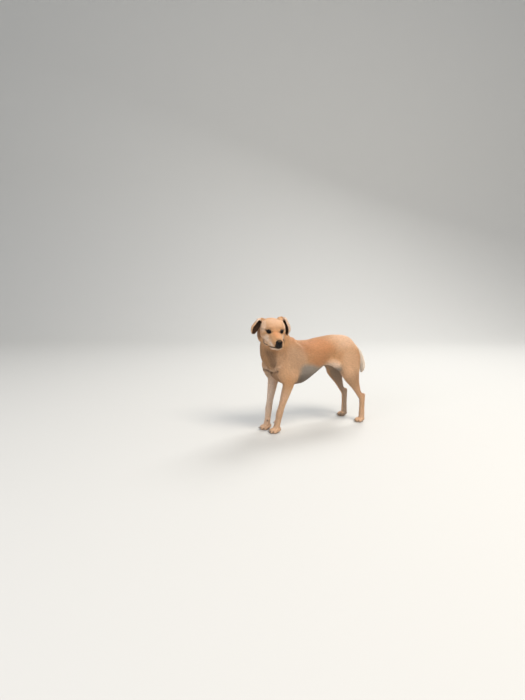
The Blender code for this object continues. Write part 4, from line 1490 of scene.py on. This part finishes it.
def hair_sizes(points, black):
    """Length in metres, width and rise as factors, and tufts in a square metre."""
    dog, head = dog_mm(points), head_mm(points)
    side = folded(dog, 1)
    on_head, on_ear = head_share(head), ear_share(head)
    low = 1 - soft_step(dog[:, 2], 60, 260)
    feet = 1 - soft_step(dog[:, 2], 20, 60)
    tail = soft_step(-dog[:, 0], 290, 312) * soft_step(dog[:, 2], 285, 320)
    long = np.full(len(points), TRUNK_HAIR)
    long += 2.5 * patch(side, *NECK_HAIR)
    long += 3.0 * patch(side, *THIGH_HAIR)
    long += (LEG_HAIR - long) * low
    long += (FOOT_HAIR - long) * feet
    long += (TAIL_HAIR - long) * tail
    face = CHEEK_HAIR - (CHEEK_HAIR - MUZZLE_HAIR) * soft_step(head[:, 1], 70, 150)
    long += (face - long) * on_head
    long += (EAR_HAIR - long) * on_ear
    wide = np.clip(long / 13.5, 0.36, 1.1)
    rise = 0.85 + 0.7 * tail + 0.35 * patch(side, *THIGH_RISE) - 0.15 * on_head
    dense = TUFTS + LEG_TUFTS * low * (1 - on_head) + FOOT_TUFTS * feet
    dense += (HEAD_TUFTS - dense) * on_head
    dense *= 1 - soft_step(black, 0.55, 0.9) * soft_step(head[:, 1], 60, 80)  # none on bare leather
    dense *= 1 - soft_step(black * on_ear, 0.04, 0.14)  # nor in the hollow of an ear
    dense *= points[:, 2] > 0.004  # nor under the paws
    for name in SIDES:
        eye = in_eye(head, name)
        dense *= np.where((outside_almond(eye) < 1.4) & (eye[:, 2] > -6), 0.0, 1.0)
    return long * MM, wide, rise, dense


keep_numbers(flesh.data, "facing", facing, "FLOAT_VECTOR")
keep_numbers(flesh.data, "lie", lie_at(places, facing), "FLOAT_VECTOR")
for name, numbers in zip(("long", "wide", "rise", "dense"), hair_sizes(places, marks["black"])):
    keep_numbers(flesh.data, "hair_" + name, numbers)
    print("hair", name, "from", round(float(numbers.min()), 4), "to", round(float(numbers.max()), 4))


# %%
# Faces: which piece of the coat each belongs to
COAT_PARTS = [
    "coat_face_left",
    "coat_face_right",
    "coat_neck",
    "coat_shoulder_left",
    "coat_shoulder_right",
    "coat_flank_left",
    "coat_flank_right",
    "coat_haunch_left",
    "coat_haunch_right",
    "coat_forelegs",
    "coat_hindlegs",
    "coat_tail",
]


def part_numbers(middles):
    """For each face's middle, the number of its piece in COAT_PARTS."""
    dog, head = dog_mm(middles), head_mm(middles)
    forward, left, up = dog.T
    right = (left < 0).astype(int)
    number = np.where(forward > 50, 3, np.where(forward > -110, 5, 7)) + right
    number = np.where((forward > 130) & (up > 410), 2, number)
    number = np.where((up < 262) & (forward > 0), 9, number)
    number = np.where((up < 240) & (forward <= 0), 10, number)
    number = np.where((forward < -296) & (up > 285) & (np.abs(left) < 40), 11, number)
    return np.where(head_share(head) > 0.5, (head[:, 0] < 0).astype(int), number)


WHISKER_PAD = (25, 164, 36), (9, 16, 8)  # aside, forward and down from where the head turns
middles = triples(flesh.data.polygons, "center")
keep_numbers(flesh.data, "coat_part", part_numbers(middles), "INT", "FACE")
on_pad = mound(np.abs(head_mm(middles)), *WHISKER_PAD) > 0.45
keep_numbers(flesh.data, "whisker_part", on_pad * 1, "INT", "FACE")
print("coat pieces:", len(COAT_PARTS))

# %% [markdown]
# ## An unwrap for the roots
# An export bakes colours into a picture, and a coat of thousands of tufts needs a place in it. The
# skin is cut into pieces by body part and by the side it faces. Each is laid flat, and all are
# packed in one square. A tuft takes a tiny patch at its root's place there.


# %%
# Packing the skin's pieces in a square
def packed(sizes):
    """Corners for rectangles laid in shelves, and the side of the square they fill."""
    order = np.argsort([-h for _, h in sizes])
    side = math.sqrt(sum(w * h for w, h in sizes)) * 1.02
    while True:
        corners, x, y, shelf = {}, 0.0, 0.0, 0.0
        for k in order:
            w, h = sizes[k]
            if x + w > side:
                x, y, shelf = 0.0, y + shelf, 0.0
            corners[k] = (x, y)
            x, shelf = x + w, max(shelf, h)
        if y + shelf <= side:
            return corners, side
        side *= 1.02


FLAT_AXES = np.array([(1, 2), (0, 2), (0, 1)])  # the two that are left when one is looked along
GAP = 0.004  # between two pieces, in metres


def root_places(mesh, parts):
    """A place in the unit square for every corner of every face."""
    facing = triples(mesh.polygons, "normal")
    axis = np.abs(facing).argmax(1)
    toward = facing[np.arange(len(axis)), axis] > 0
    pile = parts * 6 + axis * 2 + toward
    corners_of = np.empty(len(mesh.loops), np.int32)
    mesh.loops.foreach_get("vertex_index", corners_of)
    totals = np.empty(len(mesh.polygons), np.int32)
    mesh.polygons.foreach_get("loop_total", totals)
    pile, axis = np.repeat(pile, totals), np.repeat(axis, totals)
    flat = np.take_along_axis(points_of(mesh)[corners_of], FLAT_AXES[axis], 1)
    piles = np.unique(pile)
    lows = {p: flat[pile == p].min(0) for p in piles}
    sizes = [tuple(flat[pile == p].max(0) - lows[p] + GAP) for p in piles]
    corners, side = packed(sizes)
    for k, p in enumerate(piles):
        flat[pile == p] += np.array(corners[k]) + GAP / 2 - lows[p]
    return np.clip(flat / side, 0.003, 0.997)


spots = root_places(flesh.data, part_numbers(middles))
in_space = np.column_stack([spots, np.zeros(len(spots))])
keep_numbers(flesh.data, "root_place", in_space, "FLOAT_VECTOR", "CORNER")
print("unwrap spans", [round(float(v), 3) for v in np.ptp(spots, axis=0)])

# %% [markdown]
# ## A tuft
# Single hairs would be too many faces. One tuft is three thin blades, like grass pressed by the
# wind. It lies 1 unit long on its local X axis, with Z away from the skin, and Geometry Nodes will
# scale it to each place's hair.


# %%
# The tuft's blades
# yaw, shift, length and half width of each blade
BLADES = [(-0.30, -0.022, 0.86, 0.030), (0.04, 0.004, 1.0, 0.036), (0.30, 0.024, 0.78, 0.028)]
LEVELS = ((0.0, 1.0), (0.5, 0.82), (1.0, 0.0))  # shares of a blade's length and its width there
PATCH = 0.003  # the width of a tuft's patch in the unwrap's unit square
ROOT_SINK = 0.015  # how deep a blade starts in the skin, as a share of its length
CUP = 0.35  # how far the outer blades turn their edges up


def make_tuft(name, blades, bow=0.24):
    """Blades of (yaw, shift, length, half width) that taper, with each point's place in a patch."""
    bm = bmesh.new()
    along = bm.verts.layers.float.new("along")
    patch_at = bm.verts.layers.float_vector.new("patch")
    for yaw, shift, length, half in blades:
        rows = []
        for t, share in LEVELS:
            reach, rise = length * t, bow * math.sin(t * 1.9) - ROOT_SINK
            sideways = shift + reach * math.sin(yaw * t)
            middle = Vector((reach * math.cos(yaw * t), sideways, rise * length))
            across = Vector((-math.sin(yaw), math.cos(yaw), CUP * yaw)) * (half * share)
            row = []
            for place in [middle - across, middle + across] if share else [middle]:
                vert = bm.verts.new(place)
                vert[along] = t
                vert[patch_at] = Vector(((place.x - 0.5) * PATCH, place.y * PATCH * 2, 0))
                row.append(vert)
            rows.append(row)
        bm.faces.new((rows[0][0], rows[1][0], rows[1][1], rows[0][1]))
        bm.faces.new((rows[1][0], rows[2][0], rows[1][1]))
    return mesh_object(name, bm, outward=False)


tuft = make_tuft("tuft", BLADES)
print("faces in a tuft:", len(tuft.data.polygons))

# %% [markdown]
# ## Planting with Geometry Nodes
# A node tree does the planting, so that a hundred thousand tufts need no loop. It keeps the faces
# of one piece, scatters roots by density, turns every tuft by the skin's normal and the lie, and
# makes real mesh of it. Its inputs have names, so one tree serves the coat and the whiskers.


# %%
# Inputs of the tree, numbers that it reads from the skin, and its chances
PLANTING_INPUTS = {
    "Geometry": "NodeSocketGeometry",
    "Chosen By": "NodeSocketString",
    "Part": "NodeSocketInt",
    "Share": "NodeSocketFloat",
    "Length Factor": "NodeSocketFloat",
    "Width Factor": "NodeSocketFloat",
    "Unrest": "NodeSocketFloat",
    "Seed": "NodeSocketInt",
    "Tuft": "NodeSocketObject",
    "Material": "NodeSocketMaterial",
}
NUMBERS = {name: "FLOAT" for name in ("hair_long", "hair_wide", "hair_rise", "hair_dense")}
NUMBERS.update({name: "FLOAT_VECTOR" for name in ("facing", "lie", "root_place", "patch")})
UNREST = (0.9, 0.45, 1.0)  # shares of the unrest that roll, pitch and yaw a tuft
SIZE_SPREAD, SIZE_SEED = (0.74, 1.16), 3
TINT_SPREAD, TINT_SEED = (0.80, 1.14), 7
TUFT_WIDTH = 0.013  # metres for 1 unit across, at a width factor of 1


# %%
# The planting tree
def planting_tree():
    tree = bpy.data.node_groups.new("planting", "GeometryNodeTree")
    for name, kind in PLANTING_INPUTS.items():
        tree.interface.new_socket(name, in_out="INPUT", socket_type=kind)
    tree.interface.new_socket("Geometry", in_out="OUTPUT", socket_type="NodeSocketGeometry")
    start = add_node(tree, "NodeGroupInput").outputs
    kept = {}
    for name, kind in NUMBERS.items():
        read = add_node(tree, "GeometryNodeInputNamedAttribute", {"data_type": kind}, name)
        kept[name] = read.outputs["Attribute"]

    # The faces of one piece, and roots scattered on them
    number = add_node(tree, "GeometryNodeInputNamedAttribute", {"data_type": "INT"}, start["Chosen By"])
    same = add_node(
        tree,
        "FunctionNodeCompare",
        {"data_type": "INT", "operation": "EQUAL"},
        i2=number.outputs["Attribute"],
        i3=start["Part"],
    )
    split = add_node(
        tree,
        "GeometryNodeSeparateGeometry",
        {"domain": "FACE"},
        Geometry=start["Geometry"],
        Selection=same.outputs["Result"],
    )
    roots = add_node(
        tree,
        "GeometryNodeDistributePointsOnFaces",
        Mesh=split.outputs["Selection"],
        Density=add_node(tree, "ShaderNodeMath", TIMES, kept["hair_dense"], start["Share"]).outputs[0],
        Seed=start["Seed"],
    )

    # Each tuft's turn: up from the skin, along the lie, and a little at random
    up = add_node(tree, "FunctionNodeAlignRotationToVector", {"axis": "Z"}, Vector=kept["facing"])
    along = add_node(
        tree,
        "FunctionNodeAlignRotationToVector",
        {"axis": "X", "pivot_axis": "Z"},
        Rotation=up.outputs["Rotation"],
        Vector=kept["lie"],
    )
    spread = add_node(tree, "ShaderNodeVectorMath", SCALED, UNREST, Scale=start["Unrest"]).outputs[0]
    back = add_node(tree, "ShaderNodeVectorMath", SCALED, spread, Scale=-1.0).outputs[0]
    chance = add_node(
        tree, "FunctionNodeRandomValue", {"data_type": "FLOAT_VECTOR"}, back, spread, Seed=start["Seed"]
    )
    jitter = add_node(tree, "FunctionNodeEulerToRotation", Euler=chance.outputs["Value"])
    turned = add_node(
        tree,
        "FunctionNodeRotateRotation",
        {"rotation_space": "LOCAL"},
        Rotation=along.outputs["Rotation"],
        Rotate_By=jitter.outputs["Rotation"],
    )

    # Its size and its tint
    low, high = SIZE_SPREAD
    one = {"data_type": "FLOAT"}
    size = add_node(tree, "FunctionNodeRandomValue", one, i2=low, i3=high, i8=SIZE_SEED)
    length = add_node(tree, "ShaderNodeMath", TIMES, kept["hair_long"], start["Length Factor"])
    length = add_node(tree, "ShaderNodeMath", TIMES, length.outputs[0], size.outputs[1]).outputs[0]
    width = add_node(tree, "ShaderNodeMath", TIMES, kept["hair_wide"], start["Width Factor"])
    width = add_node(tree, "ShaderNodeMath", TIMES, width.outputs[0], TUFT_WIDTH).outputs[0]
    rise = add_node(tree, "ShaderNodeMath", TIMES, length, kept["hair_rise"]).outputs[0]
    scale = add_node(tree, "ShaderNodeCombineXYZ", None, length, width, rise)
    low, high = TINT_SPREAD
    tint = add_node(tree, "FunctionNodeRandomValue", one, i2=low, i3=high, i8=TINT_SEED)
    tinted = add_node(
        tree,
        "GeometryNodeStoreNamedAttribute",
        {"data_type": "FLOAT", "domain": "POINT"},
        Geometry=roots.outputs["Points"],
        Name="tint",
        Value=tint.outputs[1],
    )

    # Real tufts, with their places in the unwrap
    shape = add_node(tree, "GeometryNodeObjectInfo", Object=start["Tuft"])
    planted = add_node(
        tree,
        "GeometryNodeInstanceOnPoints",
        Points=tinted.outputs["Geometry"],
        Instance=shape.outputs["Geometry"],
        Rotation=turned.outputs["Rotation"],
        Scale=scale.outputs[0],
    )
    real = add_node(tree, "GeometryNodeRealizeInstances", Geometry=planted.outputs["Instances"])
    spot = add_node(tree, "ShaderNodeVectorMath", ADDED, kept["root_place"], kept["patch"])
    mapped = add_node(
        tree,
        "GeometryNodeStoreNamedAttribute",
        {"data_type": "FLOAT2", "domain": "CORNER"},
        Geometry=real.outputs["Geometry"],
        Name="OFBake",
        Value=spot.outputs[0],
    )
    painted = add_node(
        tree, "GeometryNodeSetMaterial", Geometry=mapped.outputs["Geometry"], Material=start["Material"]
    )
    add_node(tree, "NodeGroupOutput", Geometry=painted.outputs["Geometry"])
    return tree


PLANTING = planting_tree()
ITEMS = PLANTING.interface.items_tree
SOCKETS = {item.name: item.identifier for item in ITEMS if item.in_out == "INPUT"}
print("planting inputs:", sorted(SOCKETS))


# %%
# One planted piece
KEPT = {"mark_" + name for name in MARK_ORDER} | {"tint", "along", "OFBake"}


def drop_numbers(mesh):
    """Takes away the attributes that no material reads."""
    every = [a.name for a in mesh.attributes if not a.is_internal and not a.is_required]
    for name in every:
        if name not in KEPT:
            mesh.attributes.remove(mesh.attributes[name])


def plant(name, **values):
    """Plants a piece of coat on the skin and returns it as a plain mesh."""
    grower = new_object(name + "_grower", flesh.data)
    tree = grower.modifiers.new("planting", "NODES")
    tree.node_group = PLANTING
    for key, value in values.items():
        tree[SOCKETS[key.replace("_", " ")]] = value
    seen = bpy.context.evaluated_depsgraph_get()
    mesh = bpy.data.meshes.new_from_object(grower.evaluated_get(seen), depsgraph=seen)
    bpy.data.objects.remove(grower)
    mesh.name = name
    mesh.materials.clear()
    mesh.materials.append(values["Material"])
    mesh.polygons.foreach_set("material_index", np.zeros(len(mesh.polygons), np.int32))
    drop_numbers(mesh)
    return new_object(name, mesh)


# %% [markdown]
# ## Materials
# Each material is named for its real finish. All are made of nodes, read the dog's own places or
# numbers, and have their grain at life size: hair under a millimetre, leather pores a bit over one.


# %%
# Skin with its undercoat, which gives the matt fawn ground between tufts and the damp black nose
def skin_material():
    made, shader = new_material("undercoat_and_leather", Specular_IOR_Level=0.12, Coat_Roughness=0.2)
    tree = made.node_tree
    recipe = add_node(tree, "ShaderNodeGroup", {"node_tree": RECIPE}, Tint=0.90)
    black = recipe.outputs["Black"]
    place = add_node(tree, "ShaderNodeTexCoord").outputs["Object"]
    rough = add_node(tree, "ShaderNodeMath", TIMES_PLUS, black, -0.30, 0.72)
    damp = add_node(tree, "ShaderNodeMath", TIMES, black, 0.14)
    hair = add_node(tree, "ShaderNodeTexNoise", Vector=place, Scale=1100.0, Detail=2.0).outputs["Fac"]
    furry = add_node(tree, "ShaderNodeMath", MINUS, 1.0, black).outputs[0]
    grain = add_node(tree, "ShaderNodeMath", TIMES, hair, furry).outputs[0]
    edges = {"feature": "DISTANCE_TO_EDGE"}
    pores = add_node(tree, "ShaderNodeTexVoronoi", edges, Vector=place, Scale=760.0).outputs["Distance"]
    beads = add_node(tree, "ShaderNodeMath", LESSER, pores, 0.28).outputs[0]
    leather = add_node(tree, "ShaderNodeMath", TIMES, beads, black).outputs[0]
    height = add_node(tree, "ShaderNodeMath", TIMES_PLUS, leather, 2.4, grain).outputs[0]
    bump = add_node(tree, "ShaderNodeBump", Strength=0.55, Distance=0.0004, Height=height)
    tree.links.new(recipe.outputs["Color"], shader.inputs["Base Color"])
    tree.links.new(rough.outputs[0], shader.inputs["Roughness"])
    tree.links.new(damp.outputs[0], shader.inputs["Coat Weight"])
    tree.links.new(bump.outputs["Normal"], shader.inputs["Normal"])
    return made


# %%
# Hair blades, which give the coat its direction, its small tints and its soft shine
def coat_material():
    soft = {"Roughness": 0.58, "Specular_IOR_Level": 0.3, "Sheen_Weight": 0.12}
    made, shader = new_material("short_fawn_hair", **soft)
    tree = made.node_tree
    tint = add_node(tree, "ShaderNodeAttribute", {"attribute_name": "tint"}).outputs["Fac"]
    along = add_node(tree, "ShaderNodeAttribute", {"attribute_name": "along"}).outputs["Fac"]
    # painted shade deep in the coat: each blade is darker at its root than at its tip
    shade = add_node(tree, "ShaderNodeMath", TIMES_PLUS, along, 0.26, 0.84).outputs[0]
    shaded = add_node(tree, "ShaderNodeMath", TIMES, tint, shade).outputs[0]
    recipe = add_node(tree, "ShaderNodeGroup", {"node_tree": RECIPE}, Tint=shaded)
    tree.links.new(recipe.outputs["Color"], shader.inputs["Base Color"])
    return made


# %%
# Whisker hair, stiff and dark, paler at the tip
def whisker_material():
    made, shader = new_material("stiff_whisker", Roughness=0.4)
    tree = made.node_tree
    along = add_node(tree, "ShaderNodeAttribute", {"attribute_name": "along"}).outputs["Fac"]
    root, tip = hex_colour("2B211C"), hex_colour("8A7462")
    mix = add_node(tree, "ShaderNodeMix", COLOUR_MIX, along, i6=root, i7=tip)
    tree.links.new(mix.outputs[2], shader.inputs["Base Color"])
    return made


# %%
# Wet eye: black pupil, brown iris with fine streaks, dark rim, and a clear gloss over it all.
# The stops are shares of the way from the gaze's axis to the ball's widest ring.
EYE_STOPS = (
    (0.0, "020202"),
    (0.29, "030202"),  # pupil
    (0.32, "120905"),
    (0.50, "1C0F08"),  # iris
    (0.62, "0D0704"),
    (0.68, "060404"),  # rim
    (0.78, "1E1512"),
    (1.0, "4A3A32"),
)


def eye_material():
    gloss = {"Specular_IOR_Level": 0.08, "Coat_Weight": 0.14, "Coat_Roughness": 0.03}
    made, shader = new_material("wet_brown_eye", Roughness=0.25, **gloss)
    tree = made.node_tree
    off = add_node(tree, "ShaderNodeAttribute", {"attribute_name": "off_gaze"}).outputs["Fac"]
    around = add_node(tree, "ShaderNodeAttribute", {"attribute_name": "streak"}).outputs["Vector"]
    streak = add_node(tree, "ShaderNodeTexNoise", Vector=around, Scale=9.0, Detail=3.0).outputs["Fac"]
    base = add_node(tree, "ShaderNodeMath", MINUS, off, 0.025).outputs[0]
    moved = add_node(tree, "ShaderNodeMath", TIMES_PLUS, streak, 0.05, base).outputs[0]
    ramp = add_node(tree, "ShaderNodeValToRGB", Fac=moved)
    stops = ramp.color_ramp.elements
    for k, (place, code) in enumerate(EYE_STOPS):
        stop = stops[k] if k < 2 else stops.new(place)
        stop.position, stop.color = place, hex_colour(code)
    tree.links.new(ramp.outputs["Color"], shader.inputs["Base Color"])
    return made


# %%
# Claw horn: dull brown-grey, mottled by a fine grain
def horn_material():
    made, shader = new_material("claw_horn_finish", Roughness=0.45)
    tree = made.node_tree
    place = add_node(tree, "ShaderNodeTexCoord").outputs["Object"]
    grain = add_node(tree, "ShaderNodeTexNoise", Vector=place, Scale=420.0, Detail=3.0).outputs["Fac"]
    dark, light = hex_colour("241C18"), hex_colour("5A4A3E")
    mix = add_node(tree, "ShaderNodeMix", COLOUR_MIX, grain, i6=dark, i7=light)
    bump = add_node(tree, "ShaderNodeBump", Strength=0.3, Distance=0.0003, Height=grain)
    tree.links.new(mix.outputs[2], shader.inputs["Base Color"])
    tree.links.new(bump.outputs["Normal"], shader.inputs["Normal"])
    return made


# %%
# Make the finishes, and put two of them on
SKIN, HAIR, WHISKER = skin_material(), coat_material(), whisker_material()
EYE, HORN = eye_material(), horn_material()
flesh.data.materials.clear()
flesh.data.materials.append(SKIN)
for obj in bpy.context.scene.objects:
    if obj.name.startswith(("claw_", "dewclaw_")):
        obj.data.materials[0] = HORN
print("materials:", [m.name for m in (SKIN, HAIR, WHISKER, EYE, HORN)])

# %% [markdown]
# ## Eyes
# A finer ball takes the place of each plain one. Its clear front bulges a little, as a real cornea
# does, and catches the light. How far each point is from the gaze's axis colours iris and pupil.


# %%
# Eyeballs
def make_eye(side):
    bm = bmesh.new()
    bmesh.ops.create_uvsphere(bm, u_segments=56, v_segments=40, radius=EYEBALL)
    off_gaze = bm.verts.layers.float.new("off_gaze")
    streak = bm.verts.layers.float_vector.new("streak")
    axes = Matrix(eye_axes(side).tolist()).transposed()
    centre = Vector((EYE_SIDE * SIDES[side], EYE_FORWARD, EYE_UP))
    for vert in bm.verts:
        off = math.hypot(vert.co.x, vert.co.y)
        front = vert.co.z > 0
        vert[off_gaze] = off / EYEBALL if front else 1.0
        turn = math.atan2(vert.co.y, vert.co.x)
        vert[streak] = Vector((math.cos(turn), math.sin(turn), off / EYEBALL * 0.2))
        if front:
            vert.co.z += 0.8 * math.exp(-((off / 5.5) ** 2))
        vert.co = HEAD @ (centre + axes @ vert.co)
    eye = mesh_object("eyeball_" + side, bm)
    eye.data.shade_smooth()
    eye.data.materials.append(EYE)
    return eye


eyes = {side: make_eye(side) for side in SIDES}
print("eye faces:", len(eyes["left"].data.polygons))

# %% [markdown]
# ## Coat and whiskers
# Every piece is planted with its own seed, so a rerun gives the same dog. Whiskers use the same
# tree with a single long blade.

# %%
# Plant the coat
coat = []
for number, name in enumerate(COAT_PARTS):
    piece = plant(
        name,
        Chosen_By="coat_part",
        Part=number,
        Share=1.0,
        Length_Factor=1.0,
        Width_Factor=1.0,
        Unrest=0.20,
        Seed=11 + number,
        Tuft=tuft,
        Material=HAIR,
    )
    coat.append(piece)
print("coat triangles:", {p.name: sum(len(f.vertices) - 2 for f in p.data.polygons) for p in coat})


# %%
# Whiskers
whisker_blade = make_tuft("whisker_blade", [(0.0, 0.0, 1.0, 0.012)], bow=0.30)
whiskers = plant(
    "whiskers",
    Chosen_By="whisker_part",
    Part=1,
    Share=0.8,
    Length_Factor=9.0,
    Width_Factor=0.9,
    Unrest=0.5,
    Seed=5,
    Tuft=whisker_blade,
    Material=WHISKER,
)
for shape in (tuft, whisker_blade):
    bpy.data.objects.remove(shape)
print("whiskers:", len(whiskers.data.polygons) // 2)

# %% [markdown]
# ## Joining the frame
# The skin and its coat ride on the one body and take the place of the flesh's plain solids.

# %%
# Ride, replace and finish
drop_numbers(flesh.data)
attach(flesh, "root")
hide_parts(*FLESH)
for piece in [*coat, whiskers]:
    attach(piece, "root")
for side, eye in eyes.items():
    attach(eye, "root")
    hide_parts("eye_" + side)
